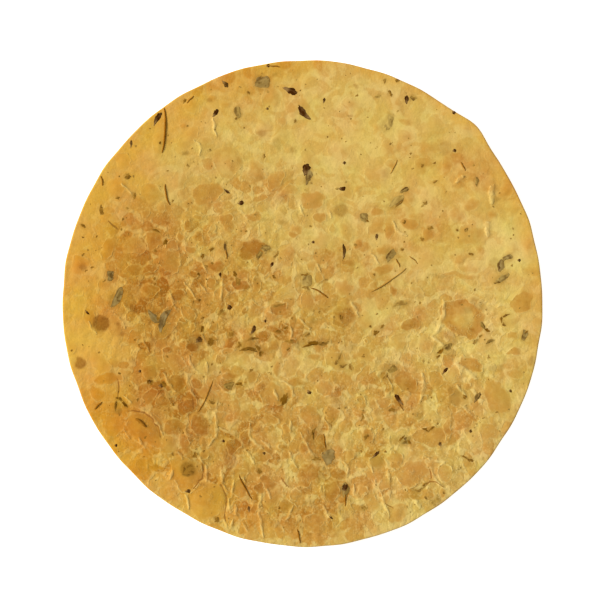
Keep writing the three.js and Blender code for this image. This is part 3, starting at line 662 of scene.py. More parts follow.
# Size and seed of the soft fields
SWELL_FIELD = (4.3, 21)
RIPPLE_FIELD = (1.6, 22)
RIDGE_FIELD = (3.6, 73)
RIDGE_RISE = (-0.45, 0.1)  # where in its field a ridge begins and is full
LEAST_CRACKLE = 0.25
PALE_CALM = 0.6  # how much less crackled pale dough is
# Where the dough is most crackled: place, reach along x and y, and how much
CRACKLE_AREAS = [
    (-42, 0, 36, 34, 0.65), (-30, -52, 40, 30, 0.6), (10, -62, 36, 26, 0.6), (48, -50, 36, 28, 0.7),
    (5, -8, 30, 22, 0.4), (60, -10, 22, 22, 0.4), (-20, 40, 24, 18, 0.25),
]


def settle(plates):
    """The plates moved as their middles are bent, so that each comes out where it was read."""
    return [(*bend(np.array(x), np.array(y)), *rest) for x, y, *rest in plates]


def at_least(least, value):
    """That share where the value is 0, and all where it is 1."""
    return least + (1 - least) * value


PLATES = settle(LARGE_PLATES + TILES + SMALL_PLATES)


def read_skin(x, y):
    """What lies at each point of a skin: plates, crumb plates and strokes, and the relief they give."""
    bent_x, bent_y = bend(x, y)
    plate = read_plates(bent_x, bent_y, PLATES, GAP)
    crumb = read_plates(bent_x, bent_y, CRUMB_PLATES, CRUMB_GAP)
    wind_x, wind_y = shift(x, y, *STROKE_WINDING)
    crease = read_strokes(x + wind_x, y + wind_y, CREASES)
    dark = read_strokes(x + wind_x, y + wind_y, DARK_LINES)
    calm = PALE_CALM * soft_areas(x, y, 0, PALE_AREAS)
    crackle = soft_areas(x, y, LEAST_CRACKLE, CRACKLE_AREAS) * (1 - calm)
    ridge = crackle * smooth(soft_field(x, y, *RIDGE_FIELD), *RIDGE_RISE)

    on_plate = smooth(plate["edge"], 0, PLATE_SHOULDER)
    crumb_step = CRUMB_STEP * smooth(crumb["edge"], 0, CRUMB_SHOULDER)
    swell = soft_field(x, y, *SWELL_FIELD)
    ripple = soft_field(x, y, *RIPPLE_FIELD)
    height = PLATE_STEP * on_plate * at_least(PLATE_CALM, crackle) + PLATE_DOME * plate["dome"]
    height = height + crumb_step * at_least(CRUMB_CALM, crackle) * (1 - CRUMB_SMOOTHED * on_plate)
    height = height + EDGE_RIDGE * ridge * np.exp(-(plate["edge"] / EDGE_RIDGE_WIDTH) ** 2)
    height = height + CREASE_RIDGE * np.exp(-crease["side"] ** 2) * smooth(crease["near"], 0, STROKE_FADE)
    height = height - DARK_GROOVE * np.exp(-dark["side"] ** 2) * smooth(dark["near"], 0, STROKE_FADE)
    height = height + SWELL * swell * at_least(SWELL_CALM, crackle)
    height = height + RIPPLE * ripple * (1 - RIPPLE_SMOOTHED * on_plate) * at_least(RIPPLE_CALM, crackle)
    return {"plate": plate, "crumb": crumb, "crease": crease, "dark": dark,
            "crackle": crackle, "ridge": ridge, "relief": height}


def top_height(x, y):
    """The top skin's height above the table."""
    return SHEET + sheet_lift(x, y) + read_skin(x, y)["relief"]


print("skin stands", top_height(np.array([0.0]), np.array([0.0])).round(2), "mm up in the middle")

# %% [markdown]
# ## The crust as one closed skin
# The skin is laid in rings: from the middle of the underside outwards, round the rim and back over the
# top to the middle. Each ring has six points more than the one inside it, so that all triangles are
# about the same size. A grid cut to the outline would leave a stepped rim, and a turned profile would
# crowd its triangles in the middle.

# %% Rings
TOP_RINGS = 164
UNDERSIDE_RINGS = 54
NOSE_RINGS = 5
RING_STEP = 6  # how many points each ring has more than the one inside it
NOSE_DEPTH = 0.5  # how far in from the rim the rounding of the edge begins


def ring(count, inset):
    """Points evenly round the middle, a distance in from the rim or a share of it, as x and y."""
    angle = TURN * np.arange(count) / count
    radius = inset(rim_radius(angle))
    return radius * np.cos(angle), radius * np.sin(angle)


def lay_rings():
    """Every ring's x, y, and how far up the sheet's thickness it is, from underside to top."""
    rings = []
    rim_points = RING_STEP * TOP_RINGS
    for k in range(UNDERSIDE_RINGS + 1):
        share = k / UNDERSIDE_RINGS
        rings.append((*ring(max(1, RING_STEP * k), lambda rim: share * (rim - NOSE_DEPTH)), 0.0))
    for k in range(1, 2 * NOSE_RINGS):
        turn = math.pi * k / (2 * NOSE_RINGS)
        rings.append((*ring(rim_points, lambda rim: rim - NOSE_DEPTH * (1 - math.sin(turn))),
                      (1 - math.cos(turn)) / 2))
    for k in range(TOP_RINGS, -1, -1):
        share = k / TOP_RINGS
        rings.append((*ring(max(1, RING_STEP * k), lambda rim: share * (rim - NOSE_DEPTH)), 1.0))
    return rings


rings = lay_rings()
print(len(rings), "rings,", sum(len(x) for x, y, level in rings), "points")

# %% Triangles between neighbouring rings


def zip_rings(first_count, first_start, second_count, second_start):
    """One band of triangles, stepping along whichever ring is behind."""
    first_steps = first_count if first_count > 1 else 0
    second_steps = second_count if second_count > 1 else 0
    band = []
    i = j = 0
    while i < first_steps or j < second_steps:
        a = first_start + i % first_count
        b = second_start + j % second_count
        behind = (i + 1) * second_steps <= (j + 1) * first_steps
        if i < first_steps and (behind or j == second_steps):
            i += 1
            band.append((a, first_start + i % first_count, b))
        else:
            j += 1
            band.append((a, second_start + j % second_count, b))
    return band


crust_triangles = []
ring_start = 0
for (inner, _, _), (outer, _, _) in zip(rings, rings[1:]):
    crust_triangles += zip_rings(len(inner), ring_start, len(outer), ring_start + len(inner))
    ring_start += len(inner)
print(len(crust_triangles), "triangles")

# %% Points of the crust, with what the paint has to know
crust_x = np.concatenate([x for x, y, level in rings])
crust_y = np.concatenate([y for x, y, level in rings])
crust_level = np.concatenate([np.full(len(x), level) for x, y, level in rings])
is_under = crust_level < 0.5
# The underside has plates of its own: the top's, turned over and round
UNDER_TURN = math.radians(130)
UNDERSIDE_RELIEF = 0.35  # they are this much as high as the top's, and sunk
read_x = np.where(is_under, -crust_x * math.cos(UNDER_TURN) - crust_y * math.sin(UNDER_TURN), crust_x)
read_y = np.where(is_under, -crust_x * math.sin(UNDER_TURN) + crust_y * math.cos(UNDER_TURN), crust_y)
skin = read_skin(read_x, read_y)
relief = skin["relief"]
relief_top = relief[is_under].max()
underside = UNDERSIDE_RELIEF * (relief_top - relief)
edge_height = crust_level * SHEET
crust_z = sheet_lift(crust_x, crust_y) + edge_height + np.where(
    is_under, underside * (1 - 2 * crust_level), relief * (2 * crust_level - 1))
print("crust from", crust_z.min().round(2), "to", crust_z.max().round(2), "mm")

# %% [markdown]
# ## What the roasting left on the skin
# Several things colour the dough: toast on the plates, pale flour in the creases, the golden band where
# the round was thinnest, stains where a leaf lies under the skin, and how roasted, how warm and how pale
# the place is at all. They could be painted in a picture, but that blurs up close. So each becomes a
# value on every point of the crust, and the material draws a sharp, ragged edge where it needs one.

# %% Toast and creases
EDGE_REACH = 3.0  # a point knows how far a plate's edge is, up to here
# Plates that are browned as rings: place, outer and inner radius
RING_PLATES = [(60.5, -5, 9.5, 4.6), (14.9, -5.4, 4.8, 1.6)]
RING_FIELD = (3.3, 33)
RING_SOFT = (2, 1)  # how far inside and outside its inner radius a ring fades
RING_HOLLOW = 0.7  # how much of the toast its hollow lacks

plate_toast = skin["plate"]["toast"]
for x, y, outer, inner in RING_PLATES:
    distance = np.hypot(read_x - x, read_y - y) + soft_field(read_x, read_y, *RING_FIELD)
    hollow = (1 - smooth(distance, inner - RING_SOFT[0], inner + RING_SOFT[1])) * (distance < outer)
    plate_toast = plate_toast * (1 - RING_HOLLOW * hollow)
plate_edge = np.clip(skin["plate"]["edge"], -EDGE_REACH, EDGE_REACH)
crumb_edge = np.clip(skin["crumb"]["edge"], -EDGE_REACH, EDGE_REACH)
print("plates cover", (plate_edge > 0).mean().round(2), "of the points")

# %% Golden band and roast
GOLDEN_ANGLE = math.radians(180)
GOLDEN_SPREAD = math.radians(78)
GOLDEN_BAND = (0.74, 0.95)  # where the band begins and is full, as a share of the way to the rim
TOP_RIM_ANGLE = math.radians(62)
TOP_RIM_SPREAD = math.radians(60)
TOP_RIM_BAND = (0.93, 1.0)
TOP_RIM_STRENGTH = 0.8
TOP_RIM_WANDER = 0.5  # how much of the golden band's wandering this narrow one has
BAND_WANDER = 0.05
BAND_FIELD = (14, 41)
BAND_FALL = 4  # how steeply a band ends to its left and right
PALE_COOLS = 0.25  # how much less warm pale dough is
# Place, reach along x and y, and strength
GOLDEN_AREAS = [(-78, -17, 13, 7, 0.9), (-56, -65, 9, 5, 0.7), (-70, 22, 7, 8, 0.4)]

angle, share = polar(crust_x, crust_y)
off_golden = np.angle(np.exp(1j * (angle - GOLDEN_ANGLE)))
off_top = np.angle(np.exp(1j * (angle - TOP_RIM_ANGLE)))
wander = BAND_WANDER * soft_field(crust_x, crust_y, *BAND_FIELD)
golden = smooth(share + wander, *GOLDEN_BAND) * np.exp(-(off_golden / GOLDEN_SPREAD) ** BAND_FALL)
rim_band = smooth(share + TOP_RIM_WANDER * wander, *TOP_RIM_BAND)
rim_band = rim_band * np.exp(-(off_top / TOP_RIM_SPREAD) ** BAND_FALL)
golden = np.maximum(golden, TOP_RIM_STRENGTH * rim_band)
golden = np.maximum(golden, soft_areas(crust_x, crust_y, 0, GOLDEN_AREAS))


def dough_values(x, y):
    """How roasted, how warm and how pale the dough is at each point."""
    pale = soft_areas(x, y, 0, PALE_AREAS)
    warmth = np.clip(soft_areas(x, y, 0, WARM_AREAS) - PALE_COOLS * pale, 0, 1)
    return {"roasted": roast(x, y), "warmth": warmth, "pale_ground": pale}


print("golden on", (golden > 0.5).mean().round(2), "of the points")

# %% Where the leaves lie
# Place, length, breadth, turn, and the veil, which is how much of the leaf a film of dough hides.
# Then how dark its margin is, on the left of the turn above 0 and on the right below 0, and how grey
# the leaf is: 0 is brown
LEAVES = [
    (-14.9, 82.4, 5.8, 4.8, 25, 0.3, 1, 0.9), (-69, 2, 7.8, 2.8, 65, 0, 0.5, 0.6),
    (-55.5, -4.8, 5.5, 2.4, -48, 0, 0.6, 0.8), (-51, -6.3, 9.8, 2.6, 72, 0, 0.5, 1),
    (-71.6, 10.4, 4, 2.6, 90, 0, 0.4, 0.6), (-13.6, 20.6, 3.8, 2.4, 10, 0.35, 0.5, 0.3),
    (-15.9, 18.2, 3.6, 1.9, 62, 0.3, 0.6, 0), (1.3, 8.4, 5.2, 4.2, 90, 0.6, -0.5, 0.6),
    (23, 32, 3.8, 3, -50, 0.35, 0.6, 0.6), (33.2, 18, 5.6, 3.2, 58, 0.1, 0.9, 0.5),
    (35, 37.8, 6.7, 2.8, 35, 0.7, -0.9, 0.5), (32, 67.3, 6.7, 3, 70, 0.85, 0.5, 0.3),
    (74, 13.8, 4.8, 2.6, 75, 0.1, 0.9, 0.9), (76.4, 16.9, 4.4, 2.2, 20, 0.25, 0.5, 0.9),
    (74.2, 9.4, 5.6, 2.4, 30, 0.5, -0.8, 0.6), (64.8, 45.3, 3.8, 1.5, 88, 0.2, 0.6, 0.3),
    (9.7, -57, 6, 4.6, 80, 0, 0, 0.8), (15.9, -69.5, 5.2, 3, 90, 0.1, 0.2, 0.4),
    (38, -51, 4.4, 3, 20, 0.4, 0.5, 0), (53.9, -16, 4, 2.2, 25, 0, 0.6, 0.1),
    (67.1, -8, 3, 1.3, -60, 0, 0.9, 0), (82.6, -12, 4.2, 2, 80, 0.05, 0.9, 0.5),
    (33.4, -24.5, 3.8, 2.6, 45, 0, 0.5, 0), (-27.4, -30.4, 4, 2.5, 5, 0.1, 0.3, 0),
    (-23.7, 71.4, 4.6, 2.4, 88, 0.45, 0.7, 0.3), (38.1, 42.1, 3.6, 1.6, 28, 0, 0.9, 0.4),
    (2.4, 47.4, 5.8, 2.6, 80, 0, 0.7, 0.7),
]
# Smaller bits: place, length, breadth, turn and veil
LEAF_BITS = [
    (-64.8, 47.1, 2.6, 2.2, 30, 0.25), (45.8, 37.5, 1.7, 1.7, 0, 0.4), (47.7, 28.1, 2.4, 1.4, 30, 0.4),
    (-74.5, 34.8, 3.4, 1.5, -75, 0.3), (-51.8, -30.4, 3, 2.2, -20, 0.15),
    (-56.7, -29.3, 2.2, 1.9, 0, 0.15), (-34, -14.2, 3.2, 2.3, 65, 0.15),
    (-26.5, -11.4, 2.6, 2.4, 0, 0.6), (-37.3, -9.6, 2.4, 1.2, 80, 0.1), (-23.4, -30.2, 3, 1.2, -12, 0),
    (13.9, -20, 2.6, 1.2, 70, 0.5), (12.9, -22, 2.2, 1.4, 80, 0.4), (15.2, -23.1, 3, 1, 10, 0.45),
    (18.2, -23.8, 2.6, 1.8, -60, 0.7), (22.4, -42.3, 3, 0.8, 80, 0.3), (-69, -38, 3.6, 0.8, 85, 0.15),
    (-68.2, -35.6, 2.8, 0.9, -30, 0.05), (-65.8, -37.4, 3, 1.2, -45, 0.05),
    (23.1, -76.2, 2.5, 2.2, -30, 0.5), (-31.7, -80.5, 2.3, 2, 60, 0.2), (-16, -62.4, 2.3, 1.6, 70, 0.3),
    (49.6, -73.2, 4, 2.4, 30, 0.8), (-68.6, 39.3, 1.6, 1.2, 0, 0.2), (32.8, 78.1, 2.6, 1.1, -55, 0.2),
    (-51.1, 23, 2.3, 1.3, 70, 0.1), (27.6, -11, 2.6, 1.7, 35, 0.1), (30, -8.7, 2, 1.1, 45, 0.2),
    (68.9, -10.2, 2.4, 1.2, -20, 0), (75.7, -4.6, 2.8, 0.8, 30, 0.15), (74.4, -6, 2.4, 1, 85, 0.1),
    (75.3, -7.7, 1.9, 0.9, -60, 0.2), (60.4, -34.8, 2.2, 1.3, -50, 0.15), (51.6, -17.7, 3, 1.4, 50, 0),
    (50.6, -19.8, 1.9, 1, 45, 0.15), (70, -14.5, 4, 0.9, 30, 0.6), (64.5, -14.3, 2.6, 1.2, 60, 0.5),
    (33.5, -40, 3, 1.2, 0, 0.35), (23.9, -49.8, 2.6, 1.4, 50, 0.3), (43.4, -69.3, 3, 1, 25, 0.45),
    (45.5, -67.3, 2.2, 1, 30, 0.4), (4.4, -48.6, 4, 1.3, 85, 0.3), (5.2, -58, 3.8, 1.6, 5, 0.5),
    (-39.9, -56.5, 2.4, 1.8, 70, 0.4), (36.5, -0.6, 6, 1.6, 15, 0.65),
    (-33.5, -36.7, 2.6, 1.2, -15, 0.3), (41.4, 76.6, 2.6, 1.5, -20, 0.45),
    (30.9, 82.9, 2.2, 1.1, 80, 0.35), (35.4, 82.9, 1.5, 1.1, 0, 0.1), (28, 77, 2.2, 1.1, 0, 0.6),
    (44.7, 51.2, 1.5, 1.1, 70, 0.2), (49.6, 45.3, 2, 0.9, 35, 0.3), (38, 30.4, 1.6, 1, 60, 0.2),
    (37.3, 20, 1.6, 1.2, 0, 0.4), (44.7, 24, 1.8, 1.1, -50, 0.3), (63, 18.4, 2, 1, -15, 0.15),
    (61.1, 27.4, 1.8, 1, 60, 0.5), (57.8, 27.4, 1.1, 1, 0, 0.3), (-43.6, 75.5, 1.9, 1.1, 60, 0.1),
    (-14.2, 55, 1.9, 0.8, 90, 0.3), (-2.6, 68, 1.4, 0.9, 70, 0.3), (-24.6, 68.8, 1.2, 1.1, 0, 0.3),
    (-52.9, 59.8, 1.2, 0.8, 90, 0.1), (-20.1, 78.5, 1.5, 0.9, -40, 0.4), (-53.8, -6.2, 2.6, 2, 20, 0.4),
    (-62.6, 40.1, 3, 1.1, 90, 0.3), (-54.4, 27, 3, 0.8, -20, 0.2), (-81.6, 28.9, 2.2, 1.1, -40, 0.2),
    (-33.7, 20.1, 2.3, 1.3, 20, 0.1), (-37, 17.7, 2.2, 1.3, 80, 0.1), (-38.6, 10.8, 1.3, 1, 0, 0.1),
    (-25, 11, 2.2, 1.3, -70, 0.1), (-24, 8.2, 3, 1.8, 90, 0.6), (-10.4, 10, 1.6, 0.9, -50, 0.1),
    (-38.2, 1.2, 1.3, 0.9, 40, 0.2), (-30.2, -3.6, 3.6, 1.6, 40, 0.55), (-8.9, -0.7, 4.4, 1.1, 15, 0.4),
    (-6, -9.2, 1.8, 0.9, 0, 0.2), (-9, -10.4, 2.4, 1.2, 0, 0.2), (-4.8, -14.2, 3.8, 1.4, -5, 0.4),
    (2, -11.8, 2.6, 1.2, 30, 0.4), (-5.2, -16.9, 1.4, 0.9, 30, 0.3), (-19, -25, 2.2, 1, 40, 0.3),
    (-23.6, -15.3, 2.8, 1.4, 75, 0.3), (-20, -17.4, 6, 1.3, -3, 0.1),
    (-16.6, -16.8, 3.6, 1.3, -50, 0.25), (-15.4, -18.8, 2.4, 1.5, 60, 0.15),
    (-18.5, -13.4, 4, 0.8, 10, 0.6), (3.6, -15.5, 6.6, 1.6, 14, 0), (7.8, -14.4, 4.8, 1.5, 5, 0.5),
    (0.9, 10.8, 3.2, 0.9, 0, 0.15), (2.2, 7.7, 1.7, 0.9, -40, 0), (1.6, 5.6, 3, 1.2, -15, 0.5),
    (23.4, 32, 3.6, 1.4, -55, 0), (36.4, 37, 4.2, 0.7, 38, 0.25), (72.7, 8, 3, 0.9, 15, 0.4),
    (76, 10.4, 2.6, 0.8, 60, 0.5), (36.9, -50.6, 3.2, 1.2, 55, 0), (39.4, -51, 3.4, 1.2, -50, 0),
    (38.2, -51.3, 1.9, 1.2, 0, 0.1), (-44.2, -61.7, 3, 0.9, 85, 0.3), (-42, -60.6, 2.6, 1.2, 20, 0.3),
    (-41.4, -62.8, 2.4, 0.9, -10, 0.3), (-43.2, -63.7, 2.6, 0.9, 0, 0.4),
    (45.8, -47.1, 2.9, 0.8, -25, 0.05), (48.1, -46.8, 2.7, 0.9, 35, 0.05),
    (60.3, -57.2, 2.8, 0.8, -30, 0.15), (62.6, -58.2, 2.4, 1.2, -20, 0.15),
    (83.4, -10.6, 2, 0.9, 40, 0.15), (66.4, -12.2, 1.6, 0.9, 30, 0.3), (-9.7, 18.4, 2.8, 1.2, 50, 0.5),
    (14.7, -5.2, 1.9, 1.4, 80, 0.2), (31, -27, 3, 0.9, 40, 0.45), (-6.9, -35.7, 5, 2.7, 62, 0),
    (25.4, -8.5, 1, 0.9, 0, 0.2),
]
print(len(LEAVES), "leaves and", len(LEAF_BITS), "bits of leaf")

# %% Stains from leaves under the skin
# Place, length, breadth, turn, strength and how green the stain is
STAINS = [
    (14.5, 34.8, 5.6, 4.8, 0, 0.6, 0.3), (-74.8, -7.2, 6.5, 6.6, 0, 1, 0),
    (-82.4, -22.2, 4.5, 4.5, 0, 0.85, 0), (-81.6, 13.6, 3, 3, 0, 0.6, 0.2),
    (-43.2, 56.1, 3, 2.2, 0, 0.7, 0.8), (-9.3, 59.4, 5.2, 3.7, 90, 0.45, 1),
    (-15.7, 46.8, 3.7, 1.9, 0, 0.5, 0.8), (17.9, 70, 2.2, 1.5, 0, 0.6, 0),
    (19.8, 81, 2.2, 1.9, 0, 0.6, 0.2), (-62.6, -1.7, 4.2, 2.6, -35, 1, 0),
    (56.6, -34.5, 7.5, 5.2, 90, 0.6, 0.4), (-42.5, -61.7, 5.8, 5.6, 0, 0.9, 0.3),
    (-7.8, 30.7, 3, 1.9, 0, 0.5, 0.8), (-13.4, 31.1, 5.2, 1.5, 0, 0.4, 0.8),
    (27.2, 36.3, 2.2, 1.1, 0, 0.5, 0.3), (49.6, 10.6, 2.2, 1.5, 0, 0.6, 0.8),
    (-68.2, -7.3, 2, 1.6, 0, 0.7, 0), (-67.1, -11.7, 1.8, 1.8, 0, 0.7, 0),
    (-55.5, -13.2, 3.4, 1.6, 80, 0.8, 0), (85.4, -21.4, 4, 2.2, 75, 0.6, 0.6),
    (-9, -10.2, 3.4, 1.5, 0, 0.5, 1), (-4.1, -14, 3.2, 1.6, 0, 0.6, 1),
    (1.1, -11.7, 2.4, 1.6, 0, 0.5, 1), (-68.6, -40, 3, 2.8, 0, 0.7, 0.8),
    (14.5, -5, 3.4, 2.4, 90, 0.8, 0), (62.2, -2.4, 4, 3, 30, 0.45, 1),
    (-38.4, -13.8, 3.6, 3, 0, 0.8, 0.1), (-41, -16.4, 4.5, 3, 0, 0.7, 0),
    (-68.4, -40.3, 3, 2.4, 0, 0.7, 0), (-20.4, -15.8, 9, 5.5, 5, 0.3, 0.5), (7, -55, 8, 8, 0, 0.4, 0.4),
    (51.4, 10.2, 6, 1.9, 0, 0.4, 0.8), (25, -31.5, 3, 2.2, 0, 0.4, 1),
    (43.2, -41.9, 3.7, 3.7, 0, 0.4, 1), (4.5, -6.1, 3, 3, 0, 0.4, 1), (9.7, -14, 4.5, 1.5, 0, 0.5, 0.8),
    (-35.4, -43, 2, 1.6, 0, 0.6, 0), (11.6, -34.1, 2, 1.6, 0, 0.6, 0), (-6, -9.1, 1.8, 1.8, 0, 0.6, 0),
    (-8.9, -10.2, 2.4, 1.8, 0, 0.6, 0), (63.4, -9.9, 2, 1.6, 0, 0.6, 0),
    (-67.5, 2.8, 6, 2.2, 75, 0.7, 0), (-3, 57.2, 3, 2.4, 90, 0.4, 0.7),
    (-14.9, 63.5, 4, 2.4, 0, 0.5, 0.2), (-34.3, 75.5, 2.4, 1.9, 0, 0.6, 0),
    (-10.4, 85.2, 2.4, 1.9, 0, 0.5, 0.8), (-36.9, -67.6, 2, 1.8, 0, 0.6, 0.2),
    (-10.1, -76.6, 2, 1.5, 0, 0.6, 0), (72.7, 38.6, 2, 1.8, 0, 0.6, 0.5),
    (-29.4, -3.9, 3, 1.8, 0, 0.5, 0), (44, 3.2, 3, 2.2, 0, 0.4, 0), (-40.6, -16.2, 4, 3, 0, 0.5, 0),
    (28.3, -59, 5, 4.5, 0, 0.45, 0.6), (-16.4, -68.8, 3, 2.6, 0, 0.4, 0.3), (-37, 17, 5, 3, 0, 0.4, 0),
    (-28, -5, 5, 3, 0, 0.4, 0), (-39, -13.5, 7, 5, 0, 0.7, 0), (0, -15, 8, 5, 0, 0.4, 0.7),
    (32.5, -25.5, 9, 7, 50, 0.5, 0.7), (-27, -57, 11, 5, 90, 0.55, 0),
    (-15, -17.5, 5, 4.5, 0, 0.55, 0.3), (66, -0.5, 8, 4, -35, 0.4, 0), (55.5, -13, 4, 6, 30, 0.4, 0),
    (-55, -30, 6, 3, 0, 0.4, 0), (38, -51, 8, 4.5, 0, 0.45, 0.3), (72, -24, 7, 3, 0, 0.35, 0),
    (15.5, -78, 7, 3.5, 110, 0.4, 0.2), (-10, -82, 4, 3.5, 0, 0.4, 0), (-0.5, -82.5, 4, 4, 0, 0.4, 0),
    (3, -74.5, 5, 3.5, 0, 0.35, 0), (-55, -13, 7, 3, 70, 0.45, 0), (-50, -34.5, 8, 3.5, -40, 0.35, 0),
    (-22, 21, 4, 3.5, 0, 0.35, 0), (4.8, -49.5, 6.5, 9, 0, 0.5, 0.6), (-27, -31, 6, 4, 0, 0.45, 0),
    (-34, -25, 5, 7, 0, 0.35, 0), (-19, -27.5, 4, 5, 0, 0.4, 0), (13, -37, 5, 5, 0, 0.4, 0.1),
    (27, -38.5, 4, 5, 0, 0.4, 0.3), (7.5, -63, 3.5, 7, 0, 0.45, 0), (-22, -52, 6, 4, 0, 0.35, 0),
    (18, -16, 6, 4, 0, 0.35, 0.1), (35.5, 17.5, 3, 3, 0, 0.3, 0.3), (71.5, 15, 4, 4, 0, 0.35, 0.5),
    (31.5, 48.5, 4, 4, 0, 0.3, 0), (53, 58, 5, 6, 0, 0.3, 0), (-7, 39, 5, 4, 0, 0.3, 0),
    (-63, -21, 3, 3, 0, 0.4, 0), (55, -18, 5, 4, 0, 0.35, 0),
]
STAIN_SOFT = 0.6
STAIN_WINDING = (0.5, 1.5, 51)  # how far outlines wind, over what length, and seed
HALO = 1.25  # a leaf's own stain is this much larger than the leaf
HALO_MARGIN = 0.6
HALO_STRENGTH = 0.42
HALO_GREEN = 0.75

halos = []
for x, y, length, breadth, turn, *rest in LEAVES + LEAF_BITS:
    halos.append((x, y, HALO * length, HALO * breadth + HALO_MARGIN, turn, HALO_STRENGTH, HALO_GREEN))

stain = np.zeros(crust_x.shape)
stain_green = np.zeros(crust_x.shape)
wind_x, wind_y = shift(read_x, read_y, *STAIN_WINDING)
for *oval, strength, green in STAINS + halos:
    depth = depth_inside(read_x + wind_x, read_y + wind_y, oval)
    here = strength * smooth(depth, -STAIN_SOFT / 2, STAIN_SOFT)
    stain_green = np.where(here > stain, green, stain_green)
    stain = np.maximum(stain, here)
print(len(STAINS), "stains and", len(halos), "halos of leaves")

# %% Make the crust


def make_piece(name, points, triangles, values):
    """A smooth-shaded mesh object in metres, with named values on its points for the materials."""
    mesh = bpy.data.meshes.new(name)
    mesh.from_pydata((np.asarray(points) * MM).tolist(), [], triangles)
    mesh.polygons.foreach_set("use_smooth", np.ones(len(mesh.polygons), dtype=bool))
    for title, value in values.items():
        layer = mesh.attributes.new(title, "FLOAT", "POINT")
        layer.data.foreach_set("value", np.ascontiguousarray(value, dtype=np.float32))
    mesh.validate()
    piece = bpy.data.objects.new(name, mesh)
    bpy.context.collection.objects.link(piece)
    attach(piece, "root")
    print(name, len(mesh.polygons), "triangles")
    return piece


crust = make_piece("crust_sheet", np.stack([crust_x, crust_y, crust_z], axis=1), crust_triangles, {
    "plate_edge": plate_edge, "plate_toast": plate_toast, "plate_size": skin["plate"]["size"],
    "crumb_edge": crumb_edge, "crumb_toast": skin["crumb"]["toast"],
    "crease_side": skin["crease"]["side"], "crease_near": skin["crease"]["near"],
    "dark_side": skin["dark"]["side"], "dark_near": skin["dark"]["near"],
    "crackle": skin["crackle"], "ridge": skin["ridge"],
    "golden": golden, "stain": stain, "stain_green": stain_green, **dough_values(read_x, read_y),
})
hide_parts("khakhra")

# %% [markdown]
# ## Flakes of leaf
# Crushed dried leaves and seed hulls go into the dough, and the roller presses them flat. They could be
# painted on the crust, but real ones stand proud of it. So each flake is a closed, slightly domed chip:
# a middle, a few rounds of points out to a ragged outline, and a sunken back. Every point is set on the
# skin under it, so no flake hangs over a crease. Each also carries how grey it is, how dark its margin
# is, and a veil: how much of it a film of dough hides.

# %% Chips
CHIP_POINTS = 24
CHIP_ROUNDS = (0.4, 0.75, 0.94, 1.0)
CHIP_SUNK = 0.35
CHIP_DOME = 0.7  # how much of its height a chip loses towards its rim
CHIP_BUMPS = (0.6, 1.0)
CHIP_REACH = 1.2  # how far it reaches where no straight side cuts it
CHIP_SIDE_REACH = (0.72, 1.05)
SIDE_WOBBLE = 0.25  # of the way to the next side
LEAST_FACING = 0.1  # a side cuts nothing that faces away from it
LOBE_COUNTS = (2, 3, 5)  # waves round a chip
SLIM_LOBES = 1.5  # a round chip has no lobes, and they grow this fast as chips get slimmer
BITES = (-1, 0.6)
BITE_SHORTENS = 0.7  # how much a bite takes off the length, against the breadth
CHIP_BOW = 0.08  # for each millimetre of length
LOBED_BOW = 0.4
# Drawn for chips whose rows don't say them
MARGINS = (-1, 1)
GREYS = (0, 0.5)


def chip_outline(rng, length, breadth, ragged, pointed, belly, sides, lobed):
    """A ragged outline as along and across, with its thicker end at plus along where belly is above 0."""
    around = TURN * np.arange(CHIP_POINTS) / CHIP_POINTS
    size = np.full(CHIP_POINTS, CHIP_REACH if sides else 1.0)
    start = rng.uniform(0, TURN)
    for k in range(sides):
        facing = start + TURN * (k + rng.uniform(-SIDE_WOBBLE, SIDE_WOBBLE)) / sides
        reach = rng.uniform(*CHIP_SIDE_REACH)
        size = np.minimum(size, reach / np.maximum(np.cos(around - facing), LEAST_FACING))
    uneven = lobed * min(1, SLIM_LOBES * (1 - breadth / length))
    for count in LOBE_COUNTS:
        size = size + uneven * rng.uniform(-1, 1) * np.cos(count * around + rng.uniform(0, TURN))
    size = size + ragged * rng.uniform(*BITES, CHIP_POINTS)
    along = length / 2 * np.cos(around) * (1 + BITE_SHORTENS * (size - 1))
    across = breadth / 2 * np.sign(np.sin(around)) * abs(np.sin(around)) ** pointed * size
    across = across * (1 + belly * np.cos(around))
    bow = rng.uniform(-1, 1) * (CHIP_BOW + LOBED_BOW * uneven) * length
    return along, across + bow * (1 - (2 * along / length) ** 2)


